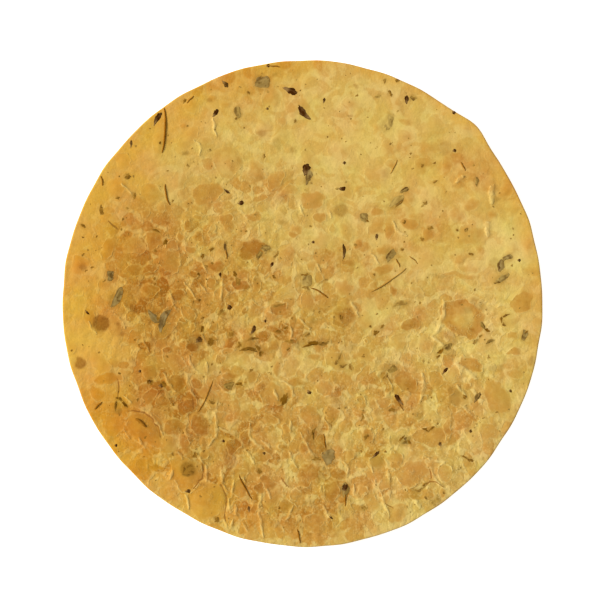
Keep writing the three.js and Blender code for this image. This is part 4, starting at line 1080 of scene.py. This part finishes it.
def make_chips(name, rows, proud, ragged, pointed, belly, sides, lobed, seed):
    """One piece of many chips, whose rows have the leaves' columns, up to the veil or all of them."""
    rng = np.random.default_rng(seed)
    chips, triangles = [], []
    rounds = len(CHIP_ROUNDS)
    for px, py, length, breadth, turn, hidden, *look in rows:
        along, across = chip_outline(rng, length, breadth, ragged, pointed, belly, sides, lobed)
        layers = [(0, proud, 0)]
        for size, bumps in zip(CHIP_ROUNDS, rng.uniform(*CHIP_BUMPS, (rounds, CHIP_POINTS))):
            layers.append((size, proud * (1 - CHIP_DOME * size ** 2) * bumps, size))
        layers += [(1, -CHIP_SUNK, 1), (0, -CHIP_SUNK, 1)]
        start = sum(len(chip) for chip in chips)
        cosine, sine = math.cos(math.radians(turn)), math.sin(math.radians(turn))
        dark, grey = look or (rng.uniform(*MARGINS), rng.uniform(*GREYS))
        for size, up, out in layers:
            u, v = (size * along, size * across) if size else (np.zeros(1), np.zeros(1))
            fill = np.ones(len(u))
            chips.append(np.stack([
                px + u * cosine - v * sine, py + u * sine + v * cosine, up * fill, out * fill,
                2 * u / length, np.sign(dark) * 2 * v / breadth,
                abs(dark) * fill, grey * fill, hidden * fill,
            ], axis=1))
        counts = [1] + [CHIP_POINTS] * (rounds + 1) + [1]
        for first, second in zip(counts, counts[1:]):
            triangles += [(a, c, b) for a, b, c in zip_rings(first, start, second, start + first)]
            start += first
    x, y, lift, rim, along, side, margin, shade, veil = np.concatenate(chips).T
    z = top_height(x, y) + lift
    return make_piece(name, np.stack([x, y, z], axis=1), triangles, {
        "rim": rim, "along": along, "side": side, "margin": margin, "shade": shade, "veil": veil,
        **dough_values(x, y),
    })


print("a chip has", CHIP_POINTS * (len(CHIP_ROUNDS) + 1) + 2, "points")

# %% Leaves
leaves = make_chips(
    "leaf_flakes", LEAVES,
    proud=0.08, ragged=0.12, pointed=0.9, belly=0.2, sides=4, lobed=0.1, seed=61)

# %% [markdown]
# ## Seed hulls
# The husks of small seeds go into the dough whole: slim, nearly black, and thicker at one end. A turned
# shape would be too even, so they are chips too, without straight sides, with sharper ends and a belly.

# %% Seed hulls
# Place, length, breadth, turn and veil
HULLS = [
    (-53.8, 68.6, 5.6, 2, 60, 0), (-4.5, 79.2, 5.8, 2.5, -25, 0), (1.1, 71, 7, 2.4, 130, 0),
    (1.6, 49.8, 4.8, 2.8, 75, 0), (-32.4, 71, 3.7, 1.6, 55, 0), (-28.5, 20.7, 5, 1, 95, 0.2),
    (15.3, 19.2, 6, 1.1, 90, 0.1), (38.9, 75.8, 3.4, 1.6, 90, 0), (-18.3, -9.9, 4, 1.5, 65, 0),
    (36.2, -35.6, 5.4, 1.6, 125, 0), (27.5, -56.4, 3.6, 1.1, 42, 0), (53.3, -25.2, 3.4, 1, 50, 0),
    (-28.7, 81.8, 3.4, 1.6, -45, 0.2), (-63.7, 59.4, 3, 1, 88, 0.1), (-12.7, 88.5, 1.6, 1.2, 10, 0),
    (-22.9, 37.5, 2.2, 1.7, 20, 0), (-28.1, 41.9, 3, 1, -38, 0), (14.9, 42.9, 2.8, 1.5, 0, 0),
    (27.8, 24.8, 2.5, 1.1, 85, 0.1), (-11.2, 14.4, 2.3, 1.1, 62, 0), (-30.4, 10.6, 2, 1, 100, 0.1),
    (8.2, 75.5, 2.2, 0.9, 80, 0.1), (15.7, 52.4, 1.3, 1.2, 0, 0.1), (56.3, 71, 1.6, 1.2, -45, 0),
    (-27.2, -1.3, 2.4, 1.7, -60, 0.1), (-42.5, -69.9, 2.2, 1.5, 0, 0.1), (2.6, -33, 2, 1.4, -60, 0.1),
    (56.6, 56.8, 1.6, 1.2, 0, 0.1), (4.1, 22.9, 1.3, 1.1, 0, 0), (80.7, 16.2, 1.3, 1.1, 0, 0.1),
    (-69.3, -52.7, 1.2, 1, 0, 0), (51.5, -52.4, 1.9, 1.2, 100, 0.1), (62.6, -47.5, 1.4, 1.2, 0, 0.1),
    (-14.2, -55.7, 1.3, 1.1, 0, 0.1), (-29.4, -51.2, 1.4, 1.1, 0, 0.1),
    (10.8, -79.6, 1.8, 0.7, -40, 0.1), (77.5, -32.6, 1.3, 1.1, 0, 0.1), (-60.4, -25.2, 1.2, 1.1, 0, 0),
    (-79.9, -3.2, 2.2, 0.8, -45, 0), (-13.8, -6.5, 1.2, 1.1, 0, 0), (-13, 72.5, 1.2, 1, 0, 0.1),
    (15.9, -69, 4, 2, 88, 0), (38.3, -50.6, 1.7, 1.3, 40, 0.35), (73.3, 13.2, 2.2, 1, 75, 0.15),
    (65.3, -35, 4.6, 1.6, 60, 0.4), (-38.4, -13.8, 3, 2, 30, 0.2), (-52.5, -30.5, 2, 1.4, 0, 0.15),
    (-56.6, -29.2, 1.4, 1.2, 60, 0.3), (-19.8, -76.6, 2.4, 0.9, 92, 0.1),
]
hulls = make_chips(
    "seed_hulls", HULLS,
    proud=0.12, ragged=0.25, pointed=1.4, belly=0.5, sides=0, lobed=0.04, seed=62)

# %% [markdown]
# ## Bits and specks
# Most of the herb is crushed finer: bits of 1 to 7 mm, and specks like ground pepper. The bits lie where
# the real ones do. A texture could sprinkle the specks, but as chips they are in the mesh as well, so
# they are sown at random and go into the same piece.

# %% Bits and specks
SPECK_COUNT = 420
SPECK_SIZE = (0.35, 0.95)
SPECK_STRETCH = (1, 1.8)
SPECK_VEIL = (0.3, 0.9)
SPECK_REACH = 88
SPECK_SEED = 3301


def sow_specks():
    """Crumbs of leaf and hull all over the round: place, length, breadth, turn and veil."""
    draw = make_draw(SPECK_SEED)
    sown = []
    for _ in range(SPECK_COUNT):
        radius, angle = SPECK_REACH * math.sqrt(draw(0, 1)), draw(0, TURN)
        size = SPECK_SIZE[0] + (SPECK_SIZE[1] - SPECK_SIZE[0]) * draw(0, 1) ** 2
        sown.append((radius * math.cos(angle), radius * math.sin(angle),
                     size * draw(*SPECK_STRETCH), size, draw(0, 180), draw(*SPECK_VEIL)))
    return sown


bits = make_chips(
    "leaf_bits", LEAF_BITS + sow_specks(),
    proud=0.07, ragged=0.3, pointed=0.9, belly=0.1, sides=4, lobed=0.22, seed=63)

# %% [markdown]
# ## Stalks
# Thin stalks and ribs of the leaves lie in the dough like threads. A curve with a bevel would make them,
# but it would not follow the skin. So each is a tube of points that are set on the skin one by one.

# %% Stalks
# Two ends, sideways bow, radius and veil
STALKS = [
    (-51.4, 72.9, -52.2, 56.1, 0.9, 0.42, 0), (38.8, 13.2, 25.7, 4.3, 0.5, 0.3, 0.7),
    (-33.3, -28.7, -38.9, -40.8, 0.4, 0.27, 0.5), (-23.5, -63.9, -18.6, -72.9, -0.3, 0.3, 0),
    (-50.9, 44.5, -49.2, 36.7, -0.6, 0.36, 0.1), (3.4, 5.8, 9.7, 2, 0.4, 0.32, 0.1),
    (35.4, 53.5, 32.8, 48.3, 0.2, 0.22, 0.4), (58.9, 52.7, 60.7, 49.4, 0.1, 0.25, 0.2),
    (35, 16.6, 36.5, 13.6, 0.1, 0.25, 0.2), (39.9, 17.7, 43.2, 14.7, 0.2, 0.22, 0.45),
    (-74.9, 47.5, -74.2, 43.8, 0.2, 0.3, 0.1), (-62.2, -42.7, -58, -46, 0.3, 0.6, 0.4),
    (-1.9, -84, -0.8, -89.3, 0.2, 0.28, 0.1), (16, -71, 16, -75.5, 0.1, 0.3, 0.1),
    (-12.7, 88.5, -8.2, 88.1, 0.1, 0.28, 0.3), (-28.5, 20, -28, 16.6, 0.1, 0.3, 0.2),
    (-77.1, -39.3, -74.5, -36.7, 0.1, 0.4, 0.2), (-42.9, 74.7, -40.3, 77.3, 0.1, 0.25, 0.1),
    (8, -48.6, 8.6, -53.8, 0.1, 0.25, 0.1), (35.5, -36.8, 37.8, -40, 0.1, 0.2, 0.3),
]
STALK_STEPS = 14
STALK_SIDES = 8
STALK_TIP = 0.35  # how thick its ends are, against its middle
STALK_WAVER = 0.08
STALK_WAVES = 9
SHADE_STEP = 7  # from one stalk's shade to the next's, in radians of a sine


def make_stalks(name, rows):
    """Thin tubes with pinched ends, half sunk in the skin that they follow."""
    x, y, lift, along, shade, veil, triangles = [], [], [], [], [], [], []
    for k, (x0, y0, x1, y1, bow, radius, hidden) in enumerate(rows):
        length = math.hypot(x1 - x0, y1 - y0)
        side = (-(y1 - y0) / length, (x1 - x0) / length)
        start = len(x)
        for i in range(STALK_STEPS + 1):
            t = i / STALK_STEPS
            sway = bow * 4 * t * (1 - t) + STALK_WAVER * math.sin(STALK_WAVES * t + k)
            thick = radius * at_least(STALK_TIP, math.sin(math.pi * t) ** 0.5)
            for s in range(STALK_SIDES):
                angle = TURN * s / STALK_SIDES
                off = sway + thick * math.cos(angle)
                x.append(x0 + (x1 - x0) * t + side[0] * off)
                y.append(y0 + (y1 - y0) * t + side[1] * off)
                lift.append(thick * math.sin(angle))
                along.append(2 * t - 1)
                shade.append(0.5 + 0.5 * math.sin(SHADE_STEP * k))
                veil.append(hidden)
        for i in range(STALK_STEPS):
            for s in range(STALK_SIDES):
                a, b = start + i * STALK_SIDES + s, start + i * STALK_SIDES + (s + 1) % STALK_SIDES
                triangles.append((a, b + STALK_SIDES, a + STALK_SIDES))
                triangles.append((a, b, b + STALK_SIDES))
        tail = start + STALK_STEPS * STALK_SIDES
        for s in range(1, STALK_SIDES - 1):
            triangles.append((start, start + s + 1, start + s))
            triangles.append((tail, tail + s, tail + s + 1))
    x, y = np.array(x), np.array(y)
    z = top_height(x, y) + np.array(lift)
    zero = np.zeros(len(x))
    return make_piece(name, np.stack([x, y, z], axis=1), triangles, {
        "rim": zero, "along": np.array(along), "side": zero, "margin": zero,
        "shade": np.array(shade), "veil": np.array(veil), **dough_values(x, y),
    })


stalks = make_stalks("stalks", STALKS)

# %% [markdown]
# ## A way to write materials as sums
# A material is a tree of nodes, but most of it is arithmetic on masks. The class below wraps a socket,
# so that a mask can be added, multiplied or taken from 1 in plain Python, and each step adds its Math
# node. Colours go through a Mix node. Every other node comes from one method.

# %% Signal


class Signal:
    """A socket of a material's node tree, for use in expressions."""

    def __init__(self, tree, socket=None):
        self.tree = tree
        self.socket = socket

    def node(self, kind, settings=None, sockets=None, output=0):
        """Adds a node of that type, with its settings first, then its sockets' values or links."""
        made = self.tree.nodes.new("ShaderNode" + kind)
        for name, value in (settings or {}).items():
            setattr(made, name, value)
        for name, value in (sockets or {}).items():
            if isinstance(value, Signal):
                self.tree.links.new(value.socket, made.inputs[name])
            else:
                made.inputs[name].default_value = value
        return Signal(self.tree, made.outputs[output])

    def math(self, operation, first, second=0):
        """One step of arithmetic on values."""
        return self.node("Math", {"operation": operation}, {0: first, 1: second})

    def __add__(self, other):
        return self.math("ADD", self, other)

    def __mul__(self, other):
        return self.math("MULTIPLY", self, other)

    def __sub__(self, other):
        return self.math("SUBTRACT", self, other)

    def __rsub__(self, other):
        return self.math("SUBTRACT", other, self)

    __radd__ = __add__
    __rmul__ = __mul__

    def larger(self, other):
        """Whichever of two values is larger."""
        return self.math("MAXIMUM", self, other)

    def unsigned(self):
        """The value without its sign."""
        return self.math("ABSOLUTE", self)

    def rise(self, low, high):
        """0 where the signal is below low, 1 above high, and an S-shaped rise between."""
        return self.node("MapRange", {"interpolation_type": "SMOOTHSTEP"},
                         {"Value": self, "From Min": low, "From Max": high})

    def blend(self, first, second):
        """The first colour where the signal is 0, the second where it is 1."""
        return self.node("Mix", {"data_type": "RGBA"}, {0: self, 6: first, 7: second}, output=2)


print("a class for sums of masks")

# %% Colours and materials
# The curve between a screen's values and light
SCREEN_KNEE = 0.04045
SCREEN_SLOPE = 12.92
SCREEN_OFFSET = 0.055
SCREEN_POWER = 2.4


def light_of(value):
    """How much light a screen value from 0 to 255 stands for."""
    share = value / 255
    if share <= SCREEN_KNEE:
        return share / SCREEN_SLOPE
    return ((share + SCREEN_OFFSET) / (1 + SCREEN_OFFSET)) ** SCREEN_POWER


def colour(red, green, blue):
    """The base colour that shows as these screen values under this scene's light."""
    return tuple(light_of(value) / LIGHT_LEVEL for value in (red, green, blue)) + (1,)


def start_material(name):
    """An empty material: its tree as a signal, its shader, and the place on the piece in millimetres."""
    material = bpy.data.materials.new(name)
    material.use_nodes = True
    tree = Signal(material.node_tree)
    shader = material.node_tree.nodes["Principled BSDF"]
    place = tree.node("TexCoord", output="Object")
    place = tree.node("VectorMath", {"operation": "SCALE"}, {0: place, "Scale": 1 / MM})
    return material, tree, shader, place


def plug(tree, shader, values):
    """Links signals to the shader's sockets, and sets plain numbers on them."""
    for name, value in values.items():
        if isinstance(value, Signal):
            tree.tree.links.new(value.socket, shader.inputs[name])
        else:
            shader.inputs[name].default_value = value


def value_of(tree, title):
    """A value that the piece's points carry."""
    return tree.node("Attribute", {"attribute_name": title}, output="Fac")


def noise(tree, place, size, detail=2, swirl=0):
    """Noise between 0 and 1 whose bumps are about that many millimetres across."""
    sockets = {"Vector": place, "Scale": 1 / size, "Detail": detail, "Distortion": swirl}
    return tree.node("TexNoise", {}, sockets, output="Fac")


MIDDLE = 0.5  # of a noise
CRACK_DETAIL = 3


def crack(tree, place, size, width):
    """Winding thin lines: 1 where the noise passes through its middle value."""
    off_middle = (noise(tree, place, size, CRACK_DETAIL) - MIDDLE).unsigned()
    return 1 - off_middle.rise(0, width)


print("what shows as white has a base colour of", round(colour(255, 255, 255)[0], 2))

# %% [markdown]
# ## The crust's finish
# Roasted dough is matte, mealy and mottled, with flour in its creases. A photograph could be laid over
# it, but that would bring its own light and blur up close. Here the colour starts from the pale ground
# and is mixed with the values on the points, one after the other. Winding lines of noise add the fine
# web of cracks, and a fine grain makes the skin mealy. Plain numbers in the sums are shares: how much of
# a mask counts, or how much of a colour goes over the one below. In a rise, they are where it starts and
# where it is full.

# %% Colours of the dough
GROUND = colour(225, 194, 110)
GROUND_SHADE = colour(216, 183, 96)
GROUND_TAN = colour(206, 163, 77)
GROUND_PALE = colour(230, 199, 113)
WARM_PALE = colour(226, 174, 82)
WARM_GROUND = colour(218, 162, 66)
ROAST = colour(194, 147, 64)
WARM_ROAST = colour(193, 129, 42)
LIGHT_TOAST = colour(198, 149, 66)
WARM_LIGHT_TOAST = colour(194, 132, 45)
DARK_TOAST = colour(174, 120, 42)
WARM_DARK_TOAST = colour(172, 104, 24)
GOLDEN = colour(222, 164, 62)
GOLDEN_PALE = colour(230, 177, 77)
GOLDEN_TOAST = colour(213, 148, 42)
FLOUR = colour(230, 200, 121)
WARM_FLOUR = colour(226, 183, 95)
# olive of the dough's flecks, also painted shade in the crackled ground between the plates
OLIVE_AND_SHADE = colour(187, 153, 71)
# painted shade of a blister's steep side
DARK_LINE = colour(150, 98, 34)
STAIN_BROWN = colour(148, 94, 26)
STAIN_GREEN = colour(154, 118, 44)
print("ground", np.round(GROUND[:3], 2), "and dark toast", np.round(DARK_TOAST[:3], 2))

# %% Unevenness of the dough
# Sizes in millimetres
MOTTLE_SIZE = 9
PATCH_SIZE = 7
BLOTCH_SIZE = 2.6
GRAIN_SIZE = 0.75

material, tree, shader, place = start_material("crust_finish")
roasted = value_of(tree, "roasted")
crackle = value_of(tree, "crackle")
warmth = value_of(tree, "warmth")
ridge = value_of(tree, "ridge")
pale_ground = value_of(tree, "pale_ground")
golden_band = value_of(tree, "golden")
mottle = noise(tree, place, MOTTLE_SIZE, detail=4, swirl=0.6).rise(0.4, 0.6)
patch = noise(tree, place, PATCH_SIZE, detail=4, swirl=1.0).rise(0.46, 0.56)
blotch = noise(tree, place, BLOTCH_SIZE, detail=3).rise(0.36, 0.66)
grain = noise(tree, place, GRAIN_SIZE, detail=3)
print("four noises, the finest of", GRAIN_SIZE, "mm")

# %% Where the plates are, and how toasted
RAGGED_SIZE = 1.5
RAGGED_REACH = 1.3
SWAY_SIZE = 4
SWAY_REACH = 3.2

ragged = RAGGED_REACH * (noise(tree, place, RAGGED_SIZE, detail=4) - MIDDLE)
sway = SWAY_REACH * (noise(tree, place, SWAY_SIZE, detail=3) - MIDDLE) * (1 - 0.7 * ridge)
edge_of_plate = value_of(tree, "plate_edge") + (ragged + sway) * value_of(tree, "plate_size")
edge_of_crumb = value_of(tree, "crumb_edge") + 0.6 * ragged
crisp = edge_of_plate.rise(-0.25, 0.35)
soft = (edge_of_plate * (0.4 + 0.6 * crackle)).rise(-0.9, 1.1)
on_plate = soft + ridge * (crisp - soft)
bare = 1 - on_plate
toast_of_plate = value_of(tree, "plate_toast") * on_plate
toast_of_crumb = value_of(tree, "crumb_toast") * edge_of_crumb.rise(-1.0, 0.4)
toast = toast_of_plate.larger(toast_of_crumb * bare)
toast = toast * (0.78 + 0.32 * blotch) + 0.2 * roasted * on_plate
print("plates' edges wander by up to", (RAGGED_REACH + SWAY_REACH) / 2, "mm")

# %% Where the flour is
BREAK_SIZE = 1.8
WEB_LINES = [(3.1, 0.03), (1.7, 0.035)]  # size of the windings, and width of the lines
WEB_PATCH_SIZE = 6
CREAM_SIZE = 0.95
OLIVE_AND_SHADE_SIZE = 1.6


def stroke(side, near, low, high):
    """1 on the strokes whose side and nearness the points carry, 0 beside them."""
    beside = (value_of(tree, side) + 1.2 * ragged).unsigned()
    return (1 - beside.rise(low, high)) * value_of(tree, near).rise(0.1, 0.4)


broken = noise(tree, place, BREAK_SIZE).rise(0.38, 0.58)
edge_line = (1 - edge_of_plate.unsigned().rise(0.08, 0.4)) * ridge
crumb_line = (1 - edge_of_crumb.rise(-0.15, 0.15)) * crackle.rise(0.1, 0.7) * (1 - soft)
coarse_web, fine_web = [crack(tree, place, size, width) for size, width in WEB_LINES]
web_patch = noise(tree, place, WEB_PATCH_SIZE).rise(0.4, 0.6)
web = coarse_web.larger(fine_web) * crackle.rise(0.2, 0.9) * web_patch
crease = stroke("crease_side", "crease_near", 0.4, 1.3)
pale = edge_line.larger(0.8 * crumb_line).larger(0.7 * web)
pale = (pale * broken).larger(crease * (0.35 + 0.65 * broken))
cream_fleck = noise(tree, place, CREAM_SIZE).rise(0.52, 0.66)
cream_fleck = cream_fleck * (1 - 0.6 * on_plate) * (0.2 + 0.8 * crackle)
# olive flecks between the plates, most where the dough crackles: partly its own flecks, partly painted
# shade
olive_fleck_and_shade = noise(tree, place, OLIVE_AND_SHADE_SIZE, detail=3).rise(0.38, 0.6)
olive_fleck_and_shade = olive_fleck_and_shade * bare * (0.1 + 0.9 * crackle)
print("webs of", len(WEB_LINES), "sizes")

# %% Paint of the crust
paint = (0.65 * mottle + 0.25 * blotch).blend(GROUND, GROUND_SHADE)
paint = (0.85 * patch * (1 - 0.45 * crackle)).blend(paint, GROUND_TAN)
paint = (warmth * (0.7 + 0.3 * mottle)).blend(paint, WARM_GROUND)
paint = (0.55 * pale_ground).blend(paint, warmth.blend(GROUND_PALE, WARM_PALE))
paint = (roasted * (0.4 + 0.8 * blotch)).blend(paint, warmth.blend(ROAST, WARM_ROAST))
paint = (golden_band * (0.6 + 0.3 * mottle)).blend(paint, GOLDEN)
paint = (golden_band * pale_ground).blend(paint, GOLDEN_PALE)
# olive flecks and painted shade in the crackled ground between the plates
paint = (0.45 * olive_fleck_and_shade * (1 - 0.7 * warmth)).blend(paint, OLIVE_AND_SHADE)
flour = warmth.blend(FLOUR, WARM_FLOUR)
light_toast = (0.9 * golden_band).blend(warmth.blend(LIGHT_TOAST, WARM_LIGHT_TOAST), GOLDEN_TOAST)
dark_toast = (0.6 * golden_band).blend(warmth.blend(DARK_TOAST, WARM_DARK_TOAST), GOLDEN_TOAST)
paint = toast.rise(0.02, 0.5).blend(paint, light_toast)
paint = (toast + 0.3 * (grain - MIDDLE)).rise(0.45, 1.0).blend(paint, dark_toast)
paint = (0.35 * cream_fleck).blend(paint, flour)
paint = (pale * (0.8 - 0.4 * roasted)).blend(paint, flour)
# painted shade along the steep sides of blisters
paint = (0.8 * stroke("dark_side", "dark_near", 0.5, 1.2)).blend(paint, DARK_LINE)
stain_colour = value_of(tree, "stain_green").blend(STAIN_BROWN, STAIN_GREEN)
stain_amount = value_of(tree, "stain") * (0.7 + 0.6 * (grain - 0.3))
paint = stain_amount.blend(paint, stain_colour)
print("paint of", len(material.node_tree.nodes), "nodes")

# %% Grain, bump and gleam of the crust
SAME_HUE = 0.5
HUE_SWAY = 0.035
BUMP_STRENGTH = 0.8
BUMP_DEPTH = 0.25  # in millimetres
CRUST_GLEAM = 0.02

hue = SAME_HUE + HUE_SWAY * (noise(tree, place, MOTTLE_SIZE, detail=1) - MIDDLE)
mealy = tree.node("HueSaturation", {}, {"Hue": hue, "Value": 0.91 + 0.18 * grain, "Color": paint})
fine = 0.45 * grain * (1 - 0.5 * on_plate) + 0.4 * blotch * bare * crackle
bump = tree.node("Bump", {}, {
    "Strength": BUMP_STRENGTH, "Distance": BUMP_DEPTH * MM,
    "Height": fine + 0.6 * pale + 0.35 * crisp * crackle,
})
plug(tree, shader, {
    "Base Color": mealy, "Roughness": 0.75 + 0.2 * grain, "Normal": bump,
    "Specular IOR Level": CRUST_GLEAM,
})
crust.data.materials.append(material)
print("crust finish with", len(material.node_tree.nodes), "nodes")

# %% [markdown]
# ## The flakes' finishes
# Dried leaf is grey to brown with dark margins, a seed hull is nearly black with a lighter tail, and
# stalks and small bits are brown. All of them lie partly under a film of dough, so the veil mixes in the
# colour that the dough has there. Four materials could be drawn one by one, but they differ only in
# their colours and in how strongly they are marked, so one function makes them all.

# %% Flake materials
STREAK_STRETCH = 1.1
STREAK_STEP = 40  # how far apart two shades read the noise, so that no two flakes are streaked alike
FLAKE_PATCH_SIZE = 2.8
FLECK_SIZE = 1.9
FLAKE_BUMP_STRENGTH = 0.35
FLAKE_BUMP_DEPTH = 0.12  # in millimetres
FLAKE_GLEAM = 0


def make_flake_finish(name, light, grey, dark, mark, outline, fleck, tail, roughness, fade):
    """A finish for flakes: light to grey by their shade, streaked and marked dark, faded by dough."""
    material, tree, shader, place = start_material(name)
    rim, side, along = value_of(tree, "rim"), value_of(tree, "side"), value_of(tree, "along")
    shade = value_of(tree, "shade")
    lengthwise = tree.node("CombineXYZ", {}, {
        "X": STREAK_STRETCH * along, "Y": side, "Z": STREAK_STEP * shade,
    })
    streaks = noise(tree, lengthwise, 1).rise(0.36, 0.64)
    patches = noise(tree, place, FLAKE_PATCH_SIZE, detail=1).rise(0.38, 0.62)
    flecks = noise(tree, place, FLECK_SIZE, detail=1).rise(0.56, 0.66)
    tone = 0.25 + 0.35 * streaks + 0.2 * patches + tail * (along.rise(-0.8, 0.2) - 0.6)
    paint = tone.blend(shade.blend(light, grey), dark)
    edge = outline * rim.rise(0.7, 0.95) * (0.1 + 0.9 * patches)
    margin = value_of(tree, "margin") * side.rise(0.2, 0.6) * (0.5 + 0.5 * patches)
    marks = margin.larger(edge).larger(fleck * flecks)
    paint = marks.blend(paint, mark)
    film = value_of(tree, "veil") * (0.8 - 0.4 * streaks) + fade * rim.rise(0.7, 1.0)
    warmth = value_of(tree, "warmth")
    ground = warmth.blend(GROUND_SHADE, WARM_GROUND)
    dough = value_of(tree, "roasted").blend(ground, warmth.blend(ROAST, WARM_ROAST))
    paint = (film * (1 - 0.6 * marks)).blend(paint, dough)
    bump = tree.node("Bump", {}, {
        "Strength": FLAKE_BUMP_STRENGTH, "Distance": FLAKE_BUMP_DEPTH * MM, "Height": streaks,
    })
    plug(tree, shader, {
        "Base Color": paint, "Roughness": roughness + 0.15 * streaks, "Normal": bump,
        "Specular IOR Level": FLAKE_GLEAM,
    })
    return material


print("one function for all flakes")

# %% Finish the flakes
LEAF_LIGHT = colour(180, 147, 72)
LEAF_GREY = colour(176, 153, 99)
LEAF_DARK = colour(126, 94, 34)
LEAF_MARK = colour(84, 48, 4)
HULL_LIGHT = colour(152, 116, 66)
HULL_DARK = colour(72, 38, 8)
HULL_MARK = colour(56, 26, 4)
STALK_LIGHT = colour(164, 108, 28)
STALK_DARK = colour(136, 84, 10)
STALK_MARK = colour(106, 60, 2)
BIT_LIGHT = colour(158, 112, 32)
BIT_DARK = colour(110, 68, 4)
BIT_MARK = colour(80, 44, 0)

leaves.data.materials.append(make_flake_finish(
    "leaf_finish", LEAF_LIGHT, LEAF_GREY, LEAF_DARK, LEAF_MARK,
    outline=0.4, fleck=0.55, tail=0, roughness=0.8, fade=0.15))
hulls.data.materials.append(make_flake_finish(
    "hull_finish", HULL_LIGHT, HULL_LIGHT, HULL_DARK, HULL_MARK,
    outline=0.8, fleck=0.3, tail=1.1, roughness=0.7, fade=0))
stalks.data.materials.append(make_flake_finish(
    "stalk_finish", STALK_LIGHT, STALK_LIGHT, STALK_DARK, STALK_MARK,
    outline=0, fleck=0.4, tail=0, roughness=0.8, fade=0))
bits.data.materials.append(make_flake_finish(
    "bit_finish", BIT_LIGHT, BIT_LIGHT, BIT_DARK, BIT_MARK,
    outline=0.2, fleck=0.4, tail=0, roughness=0.8, fade=0.3))
print("four flake finishes")
